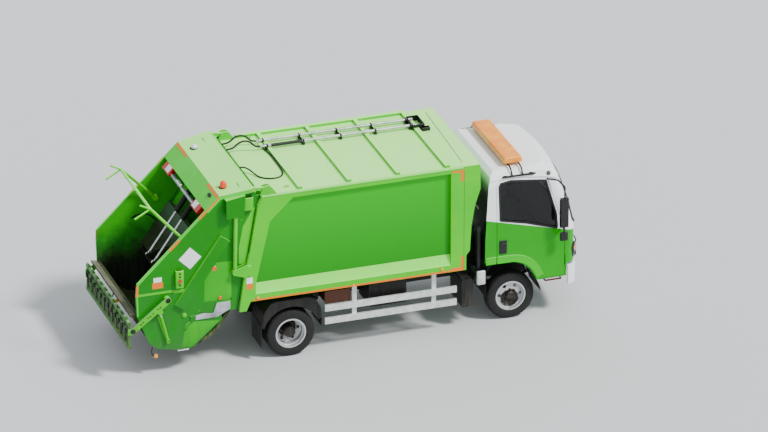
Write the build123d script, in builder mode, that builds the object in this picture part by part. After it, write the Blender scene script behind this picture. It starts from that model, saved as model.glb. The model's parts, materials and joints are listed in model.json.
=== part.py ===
from build123d import *
import os
from math import atan2, cos, degrees, hypot, radians, sin, tan

os.makedirs("parts", exist_ok=True)

# Every outline and place below is measured ahead of the rear axle and up from the road, in millimetres.
# Widths are measured out from the truck's centre plane. The finished truck has its origin on the road
# under the middle of its length, +X forward, +Y to its left and +Z up.

# Whole truck
LENGTH = 7360
WHEELBASE = 3600
REAR_OVERHANG = 2610
REAR_AXLE_X = REAR_OVERHANG - LENGTH / 2
FRONT_END = LENGTH - REAR_OVERHANG
SEAT_GAP = 0.3
PIN_CLEARANCE = 0.1
SIDES = (-1, 1)

# Wheels and axles
WHEEL_RADIUS = 385
TYRE_HALF_WIDTH = 107
RIM_SEAT_RADIUS = 232
RIM_FLANGE_RADIUS = 242
RIM_WALL = 14
RIM_HALF_WIDTH = 93
RIM_FLANGE_WIDTH = 7
DISC_THICKNESS = 14
HAND_HOLES = 6
HAND_HOLE_RADIUS = 30
HAND_HOLE_CIRCLE = 168
FRONT_WHEEL_Y = 780
REAR_INNER_Y = 688
REAR_OUTER_Y = 938
KINGPIN_Y = 670
KINGPIN_RADIUS = 16
SPINDLE_RADIUS = 26
HUB_RADIUS = 72
REAR_HUB_RADIUS = 84
AXLE_TUBE_RADIUS = 52
DIFFERENTIAL_RADIUS = 165

# Chassis
RAIL_INNER_Y = 350
RAIL_OUTER_Y = 420
RAIL_BOTTOM = 640
RAIL_TOP = 840
RAIL_REAR = -690
RAIL_FRONT = 4480
RAIL_WEB = 8
RAIL_FLANGE = 12
CAB_FLOOR_UNDER = 1060
CAB_TILT_X = 4690
CAB_TILT_Z = 845
CAB_PIN_RADIUS = 14

# Refuse body
BODY_HALF_WIDTH = 1100
WALL_INNER_Y = 1010
PANEL_Y = 1040
BODY_BOTTOM = 1050
FLOOR_TOP = 1110
ROOF_UNDER = 2740
ROOF_TOP = 2790
RIB_HEIGHT = 40
RIB_WIDTH = 64
BODY_FRONT = 2755
EJECTOR_HALF_WIDTH = 1000

# Tailgate and packer
TAIL_INNER_Y = 1005
TAIL_OUTER_Y = 1040
HINGE_X = -380
HINGE_Z = 2850
HINGE_PIN_RADIUS = 22
HINGE_LUG_RADIUS = 80
TROUGH_X = -1700
TROUGH_Z = 1140
TROUGH_RADIUS = 700
TROUGH_PLATE = 50
GUIDE_ANGLE = 55
BLADE_PIVOT_X = -1730
BLADE_PIVOT_Z = 1170
CARRIAGE_HALF_THICKNESS = 60
CARRIAGE_HALF_WIDTH = 995
CARRIAGE_LENGTH = 850
GUIDE_HALF_WIDTH = 35
GUIDE_DEPTH = 20
PACKER_ROD_Y = 150
PACKER_ROD_RADIUS = 22
PACKER_BARREL_RADIUS = 45

# Tailgate lift cylinders
LIFT_Y = 1090
LIFT_FOOT_X = -903
LIFT_FOOT_Z = 1575
LIFT_HEAD_X = -880
LIFT_HEAD_Z = 2600
LIFT_BARREL_RADIUS = 30
LIFT_ROD_RADIUS = 18
LIFT_PIN_RADIUS = 20
LIFT_EYE_RADIUS = 38

# Bin lift
BIN_PIVOT_X = -1968
BIN_PIVOT_Z = 1282
BIN_ARM_END_X = -2542
BIN_ARM_END_Z = 839
BIN_ARM_INNER_Y = 1100
BIN_ARM_OUTER_Y = 1122
BIN_ARM_HALF_DEPTH = 52
BIN_PIN_RADIUS = 25
BIN_FOOT_X = -1963
BIN_FOOT_Z = 594
BIN_LUG_X = -2088
BIN_LUG_Z = 1102
BIN_CYLINDER_Y = 1070
BIN_BARREL_RADIUS = 21
BIN_ROD_RADIUS = 13
BIN_EYE_PIN_RADIUS = 14
COMB_FRONT = -2552
COMB_REAR = -REAR_OVERHANG

# Cab
CAB_WALL = 40
DOOR_GAP = 8
DOOR_HINGE_X = 4446
DOOR_HINGE_Y = 974
DOOR_HINGE_RADIUS = 11
DOOR_PIN_RADIUS = 5
GLASS_INSET = 14
GLASS_THICKNESS = 6
# Height, rear face, half width at the rear, half width at the front, front corner, middle of the front
CAB_SECTIONS = [
    (640, 3130, 1000, 985, 4640, 4720),
    (1450, 3138, 1000, 985, 4632, 4712),
    (1860, 3165, 985, 965, 4530, 4610),
    (2300, 3200, 955, 930, 4380, 4450),
    (2440, 3240, 905, 885, 4315, 4375),
    (2500, 3320, 800, 785, 4165, 4215),
]
CAB_CORNER = 180


def ahead(points):
    """Give points with their distance from the rear axle turned into the truck's own X."""
    return [(REAR_AXLE_X + x, z) for x, z in points]


def across(outline, y_low, y_high, mode=Mode.ADD):
    """Add a slab that has the outline from the side, between two widths."""
    with BuildSketch(Plane.XZ.offset(-y_high), mode=Mode.PRIVATE) as view:
        with BuildLine():
            Polyline(*ahead(outline), close=True)
        make_face()
    extrude(view.sketch, amount=y_high - y_low, mode=mode)


def on_both_sides(outline, y_inner, y_outer, mode=Mode.ADD):
    """Add the same slab on the right and on the left."""
    across(outline, y_inner, y_outer, mode=mode)
    across(outline, -y_outer, -y_inner, mode=mode)


def block(x_low, x_high, y_low, y_high, z_low, z_high, mode=Mode.ADD):
    """Add a box by its six faces."""
    with Locations((REAR_AXLE_X + (x_low + x_high) / 2, (y_low + y_high) / 2, (z_low + z_high) / 2)):
        Box(x_high - x_low, y_high - y_low, z_high - z_low, mode=mode)


def bar(start, end, radius, mode=Mode.ADD):
    """Add a round bar from one point to another."""
    foot = Vector(REAR_AXLE_X + start[0], start[1], start[2])
    run = Vector(REAR_AXLE_X + end[0], end[1], end[2]) - foot
    with BuildSketch(Plane(origin=foot, z_dir=run.normalized()), mode=Mode.PRIVATE) as section:
        Circle(radius)
    extrude(section.sketch, amount=run.length, mode=mode)


def cross_bar(x, z, y_low, y_high, radius, mode=Mode.ADD):
    """Add a round bar that lies across the truck."""
    bar((x, y_low, z), (x, y_high, z), radius, mode=mode)


def turned(x, profile, mode=Mode.ADD):
    """Add a ring turned about the axle at x; each corner is a width and a radius."""
    with BuildSketch(axle_plane(x), mode=Mode.PRIVATE) as section:
        with BuildLine():
            Polyline(*profile, close=True)
        make_face()
    revolve(section.sketch, axis=Axis((REAR_AXLE_X + x, 0, WHEEL_RADIUS), (0, 1, 0)), mode=mode)


def axle_plane(x):
    """Give the upright plane through an axle, with widths along its x and radii along its y."""
    return Plane(origin=(REAR_AXLE_X + x, 0, WHEEL_RADIUS), x_dir=(0, 1, 0), z_dir=(1, 0, 0))


def route_tube(points, radius):
    """Add a hose along straight runs joined by arcs as large as the runs allow, and print their radii."""
    route = [Vector(REAR_AXLE_X + x, y, z) for x, y, z in points]
    radii = []
    for before, corner, after in zip(route, route[1:], route[2:]):
        shorter = min((corner - before).length, (after - corner).length)
        turn = radians((corner - before).get_angle(after - corner))
        radii.append(0.45 * shorter / tan(turn / 2))
    print("hose arc radii", [round(value) for value in radii])
    with BuildLine(mode=Mode.PRIVATE) as line:
        FilletPolyline(*route, radius=radii)
    start = line.wire() @ 0
    with BuildSketch(Plane(origin=start, z_dir=line.wire() % 0), mode=Mode.PRIVATE) as section:
        Circle(radius)
    sweep(section.sketch, path=line.wire())


def finish(part, name):
    """Label a piece and write it out."""
    part.label = name
    export_step(part, f"parts/{name}.step")


def cab_section(height, rear, half_rear, half_front, corner, middle, inset):
    """Draw the cab's plan at one height: a straight back and sides, round corners and a bowed front."""
    back = REAR_AXLE_X + rear + inset
    side_rear = half_rear - inset
    side_front = half_front - inset
    front = REAR_AXLE_X + corner - inset
    turn = CAB_CORNER - inset
    reach = turn * cos(radians(45))
    with BuildSketch(Plane.XY.offset(height), mode=Mode.PRIVATE) as section:
        with BuildLine():
            Line((back, -side_rear), (front - turn, -side_front))
            ThreePointArc(
                (front - turn, -side_front),
                (front - turn + reach, -side_front + turn - reach),
                (front, -side_front + turn),
            )
            ThreePointArc(
                (front, -side_front + turn),
                (REAR_AXLE_X + middle - inset, 0),
                (front, side_front - turn),
            )
            ThreePointArc(
                (front, side_front - turn),
                (front - turn + reach, side_front - turn + reach),
                (front - turn, side_front),
            )
            Line((front - turn, side_front), (back, side_rear))
            Line((back, side_rear), (back, -side_rear))
        make_face()
    return section.sketch


def cab_form(inset, mode=Mode.ADD):
    """Add the cab's form, drawn in by the inset on every side and at the roof."""
    sections = []
    for height, *plan in CAB_SECTIONS:
        top = height == CAB_SECTIONS[-1][0]
        sections.append(cab_section(height - (inset if top else 0), *plan, inset))
    loft(sections=sections, ruled=True, mode=mode)


# Packer geometry, worked out along the guides
GUIDE_UP = Vector(cos(radians(GUIDE_ANGLE)), 0, sin(radians(GUIDE_ANGLE)))
GUIDE_REAR = Vector(-sin(radians(GUIDE_ANGLE)), 0, cos(radians(GUIDE_ANGLE)))


def along_guide(up, rear):
    """Give a side-view point by its distance up the guides and rearward of them, from the blade's pivot."""
    return (
        BLADE_PIVOT_X + up * GUIDE_UP.X + rear * GUIDE_REAR.X,
        BLADE_PIVOT_Z + up * GUIDE_UP.Z + rear * GUIDE_REAR.Z,
    )


def guide_band(up_low, up_high, rear_low, rear_high):
    """Give the corners of a band that lies along the guides."""
    return [
        along_guide(up_low, rear_low),
        along_guide(up_high, rear_low),
        along_guide(up_high, rear_high),
        along_guide(up_low, rear_high),
    ]


# Chassis frame: two channel rails, cross members, the cab's tilt brackets and its rear arch
CROSS_MEMBERS = [-640, 450, 1350, 2350]
CROSS_WIDTH = 60
CROSS_TOP = 790
CROSS_BOTTOM = 700
FRONT_CROSS_X = 4380
ARCH_X = 3215
ARCH_HALF_LENGTH = 30
TILT_BRACKET_INNER_Y = 352
TILT_BRACKET_OUTER_Y = 372
TILT_LUG_INNER_Y = 378
TILT_LUG_OUTER_Y = 398
TILT_BRACKET = [(4400, 838), (4400, 700), (4480, 700), (4675, 822), (4690, 869), (4665, 869), (4480, 838)]
WEB_Y = RAIL_OUTER_Y - RAIL_WEB
with BuildPart() as chassis_frame:
    for side in SIDES:
        inner, outer = sorted((side * RAIL_INNER_Y, side * RAIL_OUTER_Y))
        block(RAIL_REAR, RAIL_FRONT, inner, outer, RAIL_BOTTOM, RAIL_TOP)
        channel = sorted((side * RAIL_INNER_Y, side * WEB_Y))
        block(RAIL_REAR, RAIL_FRONT, *channel, RAIL_BOTTOM + RAIL_FLANGE, RAIL_TOP - RAIL_FLANGE, mode=Mode.SUBTRACT)
    for member in CROSS_MEMBERS:
        block(member - CROSS_WIDTH / 2, member + CROSS_WIDTH / 2, -WEB_Y, WEB_Y, CROSS_BOTTOM, CROSS_TOP)
    block(FRONT_CROSS_X - 40, FRONT_CROSS_X + 40, -WEB_Y, WEB_Y, RAIL_BOTTOM + RAIL_FLANGE, RAIL_BOTTOM + 70)
    for side in SIDES:
        low, high = sorted((side * RAIL_INNER_Y, side * RAIL_OUTER_Y))
        block(ARCH_X - ARCH_HALF_LENGTH, ARCH_X + ARCH_HALF_LENGTH, low, high, RAIL_TOP, 1040)
    block(ARCH_X - ARCH_HALF_LENGTH, ARCH_X + ARCH_HALF_LENGTH, -620, 620, 1020, CAB_FLOOR_UNDER - SEAT_GAP)
    on_both_sides(TILT_BRACKET, TILT_BRACKET_INNER_Y, TILT_BRACKET_OUTER_Y)
    for side in SIDES:
        low, high = sorted((side * TILT_BRACKET_INNER_Y, side * (TILT_LUG_OUTER_Y + 4)))
        cross_bar(CAB_TILT_X, CAB_TILT_Z, low, high, CAB_PIN_RADIUS)
        boss = sorted((side * TILT_BRACKET_INNER_Y, side * TILT_BRACKET_OUTER_Y))
        cross_bar(CAB_TILT_X, CAB_TILT_Z, *boss, 23)
finish(chassis_frame.part, "chassis_frame")

# Engine and gearbox: a plain block at its real size and place, on brackets between the rails
with BuildPart() as engine:
    block(3260, 3960, -290, 290, 560, 1000)
    block(2560, 3260, -170, 170, 560, 850)
    block(3560, 3660, -WEB_Y, WEB_Y, 660, 760)
    block(2700, 2780, -WEB_Y, WEB_Y, 660, 720)
finish(engine.part, "engine")

# Springs: stacks of leaves under the rails, each leaf shorter than the one above
# Middle, half length, height of the axle seat, rise to the eyes, number of leaves, hangers' reach down
SPRINGS = [
    (WHEELBASE, 600, 405, 165, 3),
    (0, 620, WHEEL_RADIUS + AXLE_TUBE_RADIUS, 105, 5),
]
SPRING_HALF_WIDTH = 30
LEAF_THICKNESS = 12
LEAF_STEP = 130
SPRING_EYE_RADIUS = 26
SPRING_Y = (RAIL_INNER_Y + RAIL_OUTER_Y) / 2
with BuildPart() as leaf_springs:
    for side in SIDES:
        near, far = sorted((side * SPRING_Y - SPRING_HALF_WIDTH, side * SPRING_Y + SPRING_HALF_WIDTH))
        for middle, half_length, seat, rise, leaves in SPRINGS:
            for leaf in range(leaves):
                base = seat + leaf * LEAF_THICKNESS
                half = half_length - (leaves - 1 - leaf) * LEAF_STEP
                lift = rise * (half / half_length) ** 2
                with BuildSketch(Plane.XZ.offset(-far), mode=Mode.PRIVATE) as leaf_view:
                    with BuildLine():
                        lower = ThreePointArc(*ahead([(middle - half, base + lift), (middle, base), (middle + half, base + lift)]))
                        upper = ThreePointArc(*ahead([
                            (middle - half, base + lift + LEAF_THICKNESS),
                            (middle, base + LEAF_THICKNESS),
                            (middle + half, base + lift + LEAF_THICKNESS),
                        ]))
                        Line(lower @ 0, upper @ 0)
                        Line(lower @ 1, upper @ 1)
                    make_face()
                extrude(leaf_view.sketch, amount=far - near)
            for end in SIDES:
                eye_x = middle + end * half_length
                eye_z = seat + (leaves - 0.5) * LEAF_THICKNESS + rise
                cross_bar(eye_x, eye_z, near, far, SPRING_EYE_RADIUS)
                block(eye_x - 20, eye_x + 20, near, far, eye_z, RAIL_BOTTOM)
finish(leaf_springs.part, "leaf_springs")

# Front axle: a forged beam with an upright boss for each kingpin
BEAM_HALF_DEPTH = 34
BOSS_HALF_HEIGHT = 42
with BuildPart() as front_axle:
    block(WHEELBASE - BEAM_HALF_DEPTH, WHEELBASE + BEAM_HALF_DEPTH, -520, 520, 335, 405)
    for side in SIDES:
        low, high = sorted((side * 500, side * (KINGPIN_Y - 8)))
        block(WHEELBASE - 26, WHEELBASE + 26, low, high, 350, 420)
        foot = (WHEELBASE, side * KINGPIN_Y, WHEEL_RADIUS - BOSS_HALF_HEIGHT)
        head = (WHEELBASE, side * KINGPIN_Y, WHEEL_RADIUS + BOSS_HALF_HEIGHT)
        bar(foot, head, 32)
        bar(foot, head, KINGPIN_RADIUS + PIN_CLEARANCE, mode=Mode.SUBTRACT)
finish(front_axle.part, "front_axle")

# Rear axle: tube, differential and the shaft that drives it
with BuildPart() as rear_axle:
    cross_bar(0, WHEEL_RADIUS, -REAR_INNER_Y + 95, REAR_INNER_Y - 95, AXLE_TUBE_RADIUS)
    cross_bar(0, WHEEL_RADIUS, -REAR_OUTER_Y - 20, REAR_OUTER_Y + 20, SPINDLE_RADIUS)
    with Locations((REAR_AXLE_X, 0, WHEEL_RADIUS)):
        Sphere(DIFFERENTIAL_RADIUS)
    bar((100, 0, WHEEL_RADIUS), (230, 0, WHEEL_RADIUS + 8), 80)
    bar((220, 0, WHEEL_RADIUS + 8), (2520, 0, 640), 42)
    bar((2515, 0, 640), (2560 - SEAT_GAP, 0, 640), 60)
finish(rear_axle.part, "rear_axle")

# Steering knuckles: a fork round the axle's boss, the kingpin through it and the wheel's spindle
FORK_GAP = 6
FORK_THICKNESS = 24
for name, side in (("right", -1), ("left", 1)):
    with BuildPart() as knuckle:
        kingpin_y = side * KINGPIN_Y
        reach = BOSS_HALF_HEIGHT + FORK_GAP
        bar((WHEELBASE, kingpin_y, WHEEL_RADIUS - reach - FORK_THICKNESS),
            (WHEELBASE, kingpin_y, WHEEL_RADIUS + reach + FORK_THICKNESS), KINGPIN_RADIUS)
        for end in SIDES:
            low, high = sorted((WHEEL_RADIUS + end * reach, WHEEL_RADIUS + end * (reach + FORK_THICKNESS)))
            bar((WHEELBASE, kingpin_y, low), (WHEELBASE, kingpin_y, high), 32)
            near, far = sorted((kingpin_y, side * (KINGPIN_Y + 62)))
            block(WHEELBASE - 30, WHEELBASE + 30, near, far, low, high)
        near, far = sorted((side * (KINGPIN_Y + 42), side * (KINGPIN_Y + 62)))
        block(WHEELBASE - 30, WHEELBASE + 30, near, far, WHEEL_RADIUS - reach, WHEEL_RADIUS + reach)
        spindle = sorted((side * (KINGPIN_Y + 50), side * (FRONT_WHEEL_Y + 78)))
        cross_bar(WHEELBASE, WHEEL_RADIUS, *spindle, SPINDLE_RADIUS)
    finish(knuckle.part, f"knuckle_{name}")

# Tyres: width from the middle of the tread and radius, from one bead over the tread to the other
TYRE_SECTION = [
    (-90, RIM_SEAT_RADIUS), (-TYRE_HALF_WIDTH, 292), (-103, 346), (-86, 378), (-62, WHEEL_RADIUS),
    (62, WHEEL_RADIUS), (86, 378), (103, 346), (TYRE_HALF_WIDTH, 292), (90, RIM_SEAT_RADIUS),
]


def tyre(x, y):
    """Add one tyre."""
    turned(x, [(y + width, radius) for width, radius in TYRE_SECTION])


def rim(x, y, side, disc_outer, disc_hub, disc_radius):
    """Add one rim: the well and its flanges, and a disc that leads from it to the hub."""
    seat = RIM_SEAT_RADIUS - SEAT_GAP
    flange = RIM_HALF_WIDTH + RIM_FLANGE_WIDTH
    outline = [
        (-flange, RIM_FLANGE_RADIUS), (-RIM_HALF_WIDTH, RIM_FLANGE_RADIUS), (-RIM_HALF_WIDTH, seat),
        (-45, seat), (-38, seat - 12), (38, seat - 12), (45, seat),
        (RIM_HALF_WIDTH, seat), (RIM_HALF_WIDTH, RIM_FLANGE_RADIUS), (flange, RIM_FLANGE_RADIUS),
        (flange, seat - RIM_WALL), (45, seat - RIM_WALL), (38, seat - RIM_WALL - 12),
        (-38, seat - RIM_WALL - 12), (-45, seat - RIM_WALL), (-flange, seat - RIM_WALL),
    ]
    turned(x, [(y + width, radius) for width, radius in outline])
    disc = [
        (disc_outer, disc_radius), (disc_outer - side * DISC_THICKNESS, disc_radius),
        (disc_hub - side * DISC_THICKNESS, 118), (disc_hub - side * DISC_THICKNESS, 40),
        (disc_hub, 40), (disc_hub, 122),
    ]
    turned(x, disc)
    with BuildSketch(Plane.XZ.offset(-disc_outer - 200), mode=Mode.PRIVATE) as holes:
        with Locations((REAR_AXLE_X + x, WHEEL_RADIUS)):
            with PolarLocations(HAND_HOLE_CIRCLE, HAND_HOLES):
                Circle(HAND_HOLE_RADIUS)
    extrude(holes.sketch, amount=400, mode=Mode.SUBTRACT)


for name, side in (("right", -1), ("left", 1)):
    wheel_y = side * FRONT_WHEEL_Y
    with BuildPart() as front_tyre:
        tyre(WHEELBASE, wheel_y)
    finish(front_tyre.part, f"front_tyre_{name}")
    with BuildPart() as front_rim:
        rim(WHEELBASE, wheel_y, side, wheel_y + side * 35, wheel_y + side * 62, 208)
        cross_bar(WHEELBASE, WHEEL_RADIUS, *sorted((wheel_y - side * 30, wheel_y + side * 92)), HUB_RADIUS)
        spindle_bore = sorted((wheel_y - side * 40, wheel_y + side * 80))
        cross_bar(WHEELBASE, WHEEL_RADIUS, *spindle_bore, SPINDLE_RADIUS + PIN_CLEARANCE, mode=Mode.SUBTRACT)
    finish(front_rim.part, f"front_rim_{name}")
    with BuildPart() as rear_tyres:
        for wheel_y in (side * REAR_INNER_Y, side * REAR_OUTER_Y):
            tyre(0, wheel_y)
    finish(rear_tyres.part, f"rear_tyres_{name}")
    with BuildPart() as rear_rims:
        between = side * (REAR_INNER_Y + REAR_OUTER_Y) / 2
        rim(0, side * REAR_INNER_Y, -side, between - side * 60, between, 220)
        rim(0, side * REAR_OUTER_Y, side, between + side * 60, between, 220)
        cross_bar(0, WHEEL_RADIUS, *sorted((side * (REAR_INNER_Y - 85), side * (REAR_OUTER_Y + 60))), REAR_HUB_RADIUS)
        axle_bore = sorted((side * (REAR_INNER_Y - 90), side * (REAR_OUTER_Y + 21)))
        cross_bar(0, WHEEL_RADIUS, *axle_bore, SPINDLE_RADIUS + PIN_CLEARANCE, mode=Mode.SUBTRACT)
    finish(rear_rims.part, f"rear_rims_{name}")

# Boxes and tanks hung on the rails: x from, x to, side, y from, y to, z from, z to
FRAME_BOXES = [
    (2779, 2960, -1, 950, 338, 805),
    (572, 989, -1, 950, 754, 957),
    (1300, 1900, -1, 900, 560, 940),
    (1150, 1950, 1, 930, 520, 940),
    (2500, 2900, 1, 900, 560, 860),
]
BOX_EDGE = 28
with BuildPart() as frame_boxes:
    for x_low, x_high, side, y_outer, z_low, z_high in FRAME_BOXES:
        low, high = sorted((side * RAIL_OUTER_Y, side * y_outer))
        block(x_low, x_high, low, high, z_low, z_high)
    fillet(frame_boxes.edges().filter_by(Axis.Y), BOX_EDGE)
finish(frame_boxes.part, "frame_boxes")

# Exhaust: silencer on the left with its pipe to the rear
with BuildPart() as exhaust:
    bar((200, 520, 620), (1140, 520, 620), 38)
    bar((560, 520, 620), (1120, 520, 620), 95)
    block(800, 860, RAIL_OUTER_Y, 520, 660, 700)
finish(exhaust.part, "exhaust")

# Side guards: two rails on each side, on posts from the body's edge
GUARD_INNER_Y = 985
GUARD_OUTER_Y = 1015
GUARD_RAILS = [(650, 755), (437, 540)]
GUARD_POSTS = [1035, 2315]
with BuildPart() as side_guards:
    for side in SIDES:
        for z_low, z_high in GUARD_RAILS:
            low, high = sorted((side * GUARD_INNER_Y, side * GUARD_OUTER_Y))
            block(553, 2675, low, high, z_low, z_high)
        for post in GUARD_POSTS:
            low, high = sorted((side * (GUARD_INNER_Y - 30), side * GUARD_INNER_Y))
            block(post - 35, post + 35, low, high, 437, BODY_BOTTOM)
finish(side_guards.part, "side_guards")

# Rear mudguards: a folded sheet over each pair of wheels, hung from the body's floor
GUARD_OUTLINE = [(-473, 560), (-440, 780), (-340, 925), (-250, 960), (280, 960), (400, 900), (470, 770), (490, 600)]
GUARD_LINING = [(475, 600), (455, 766), (390, 887), (276, 946), (-246, 946), (-331, 913), (-427, 775), (-459, 560)]
with BuildPart() as rear_mudguards:
    for side in SIDES:
        low, high = sorted((side * 560, side * 1062))
        across(GUARD_OUTLINE + GUARD_LINING, low, high)
        lip_low, lip_high = sorted((side * 1048, side * 1062))
        lip = [(x * 0.94, z - 34) for x, z in GUARD_LINING]
        across(GUARD_OUTLINE + lip, lip_low, lip_high)
        hanger_low, hanger_high = sorted((side * 700, side * 730))
        block(-200, 200, hanger_low, hanger_high, 955, BODY_BOTTOM)
finish(rear_mudguards.part, "rear_mudguards")

# Body floor: the plate between the walls, on two long bearers and short cross bearers
FLOOR_REAR = -805
with BuildPart() as body_floor:
    block(FLOOR_REAR, BODY_FRONT, -WALL_INNER_Y, WALL_INNER_Y, BODY_BOTTOM, FLOOR_TOP)
    for side in SIDES:
        low, high = sorted((side * RAIL_INNER_Y, side * RAIL_OUTER_Y))
        block(RAIL_REAR, BODY_FRONT - 60, low, high, RAIL_TOP, BODY_BOTTOM)
    for bearer in range(5):
        bearer_x = -560 + bearer * 780
        block(bearer_x, bearer_x + 60, -WALL_INNER_Y + 60, WALL_INNER_Y - 60, 970, BODY_BOTTOM)
finish(body_floor.part, "body_floor")

# Body walls: a sheet with its frame proud of it, the slanted rear post and the tailgate cylinder's foot
WALL_OUTLINE = [
    (-467, ROOF_UNDER), (-531, 2621), (-666, 1843), (-748, 1521), (-834, 915), (-834, 900), (-723, 900),
    (-658, BODY_BOTTOM), (BODY_FRONT, BODY_BOTTOM), (BODY_FRONT, ROOF_UNDER),
]
RECESS = [(-575, 1330), (-344, 2342), (23, 2690), (2543, 2700), (2546, 1330)]
LEDGE_OUTER_Z = 1130
LIFT_EAR_INNER = (1048, 1062)
LIFT_EAR_OUTER = (1118, 1130)
for name, side in (("right", -1), ("left", 1)):
    with BuildPart() as body_wall:
        across(WALL_OUTLINE, *sorted((side * WALL_INNER_Y, side * BODY_HALF_WIDTH)))
        across(RECESS, *sorted((side * PANEL_Y, side * BODY_HALF_WIDTH)), mode=Mode.SUBTRACT)
        with BuildSketch(Plane.YZ.offset(REAR_AXLE_X - 575), mode=Mode.PRIVATE) as ledge:
            with BuildLine():
                Polyline((side * BODY_HALF_WIDTH, LEDGE_OUTER_Z), (side * BODY_HALF_WIDTH, 1331),
                         (side * PANEL_Y, 1331), close=True)
            make_face()
        extrude(ledge.sketch, amount=2546 + 575, mode=Mode.SUBTRACT)
        for ear in (LIFT_EAR_INNER, LIFT_EAR_OUTER):
            ear_side = sorted((side * ear[0], side * ear[1]))
            across([(-700, 1690), (-720, 1470), (-900, 1532), (-930, 1618)], *ear_side)
            cross_bar(LIFT_FOOT_X, LIFT_FOOT_Z, *ear_side, 43)
        block(-730, -650, *sorted((side * PANEL_Y, side * LIFT_EAR_OUTER[1])), 1500, 1660)
        pin_side = sorted((side * LIFT_EAR_INNER[0], side * LIFT_EAR_OUTER[1]))
        cross_bar(LIFT_FOOT_X, LIFT_FOOT_Z, *pin_side, LIFT_PIN_RADIUS)
    finish(body_wall.part, f"body_wall_{name}")

# Body roof: the plate with its cross ribs, left edge strip, front ridge and the tailgate's hinge lugs
ROOF_RIBS = [150, 930, 1710]
HINGE_EARS = [(978, 998), (1066, 1085)]
LEFT_STRIP_Y = 985
with BuildPart() as body_roof:
    roof_outline = [(-480, ROOF_UNDER), (-467, ROOF_TOP), (BODY_FRONT, ROOF_TOP), (BODY_FRONT, ROOF_UNDER)]
    across(roof_outline, -BODY_HALF_WIDTH, BODY_HALF_WIDTH)
    long_edges = body_roof.edges().filter_by(Axis.X).group_by(Axis.Z)[-1]
    chamfer(long_edges, 24)
    for rib in ROOF_RIBS:
        block(rib - RIB_WIDTH / 2, rib + RIB_WIDTH / 2, -1060, LEFT_STRIP_Y, ROOF_TOP, ROOF_TOP + RIB_HEIGHT)
    block(-200, 2460, LEFT_STRIP_Y, 1072, ROOF_TOP, ROOF_TOP + RIB_HEIGHT)
    block(2460, 2540, -1060, 1072, ROOF_TOP, ROOF_TOP + RIB_HEIGHT)
    for side in SIDES:
        for ear in HINGE_EARS:
            ear_side = sorted((side * ear[0], side * ear[1]))
            across([(-500, ROOF_TOP), (-230, ROOF_TOP), (-310, 2890), (-450, 2890)], *ear_side)
            cross_bar(HINGE_X, HINGE_Z, *ear_side, HINGE_LUG_RADIUS)
        pin_side = sorted((side * HINGE_EARS[0][0], side * HINGE_EARS[1][1]))
        cross_bar(HINGE_X, HINGE_Z, *pin_side, HINGE_PIN_RADIUS)
    block(30, 100, 540, 630, ROOF_TOP, ROOF_TOP + 36)
finish(body_roof.part, "body_roof")

# Body front: the housing ahead of the load space, open towards it, as wide as the body
FRONT_OUTLINE = [
    (BODY_FRONT, BODY_BOTTOM), (BODY_FRONT, ROOF_TOP), (3010, ROOF_TOP), (3018, 2386), (2931, 2115),
    (2876, 1787), (2853, 1370), (2795, 1295), (2795, BODY_BOTTOM),
]
FRONT_HOLLOW = [
    (BODY_FRONT, FLOOR_TOP), (BODY_FRONT, ROOF_UNDER), (2962, ROOF_UNDER), (2976, 2400), (2890, 2120),
    (2836, 1787), (2813, 1390), (2770, 1320), (2770, FLOOR_TOP),
]
with BuildPart() as body_front:
    across(FRONT_OUTLINE, -BODY_HALF_WIDTH, BODY_HALF_WIDTH)
    across(FRONT_HOLLOW, -WALL_INNER_Y, WALL_INNER_Y, mode=Mode.SUBTRACT)
finish(body_front.part, "body_front")

# Ejector: a leaning plate on shoes that slide on the floor
EJECTOR_FACE = [
    (2330, 1120), (2392, 1500), (2590, 2300), (2640, 2715), (2700, 2715), (2650, 2300), (2450, 1480), (2400, 1120),
]
with BuildPart() as ejector_plate:
    across(EJECTOR_FACE, -EJECTOR_HALF_WIDTH, EJECTOR_HALF_WIDTH)
    for side in SIDES:
        low, high = sorted((side * 760, side * 820))
        across([(2380, 1125), (2700, 1125), (2700, 1200), (2440, 1500)], low, high)
        low, high = sorted((side * 740, side * 840))
        block(2340, 2700, low, high, FLOOR_TOP + SEAT_GAP, 1130)
finish(ejector_plate.part, "ejector_plate")

# Roof pipes: two steel pipes that lie on the ribs
PIPE_RADIUS = 22
PIPE_Z = ROOF_TOP + RIB_HEIGHT + PIPE_RADIUS + SEAT_GAP
PIPES_Y = (450, 665)
PIPE_REAR = 54
with BuildPart() as roof_pipes:
    for pipe_y in PIPES_Y:
        bar((PIPE_REAR, pipe_y, PIPE_Z), (2528, pipe_y, PIPE_Z), PIPE_RADIUS)
finish(roof_pipes.part, "roof_pipes")

# Air intake: the filter can behind the cab and the duct that rises from it
with BuildPart() as air_intake:
    cross_bar(3080, 800, -960, -700, 100)
    block(3040, 3120, -710, -RAIL_OUTER_Y, 760, 820)
    block(3045, 3105, -900, -800, 850, 1600)
    block(3030, 3112, -915, -785, 1560, 1650)
    fillet(air_intake.edges().filter_by(Axis.Z), 18)
finish(air_intake.part, "air_intake")

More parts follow.
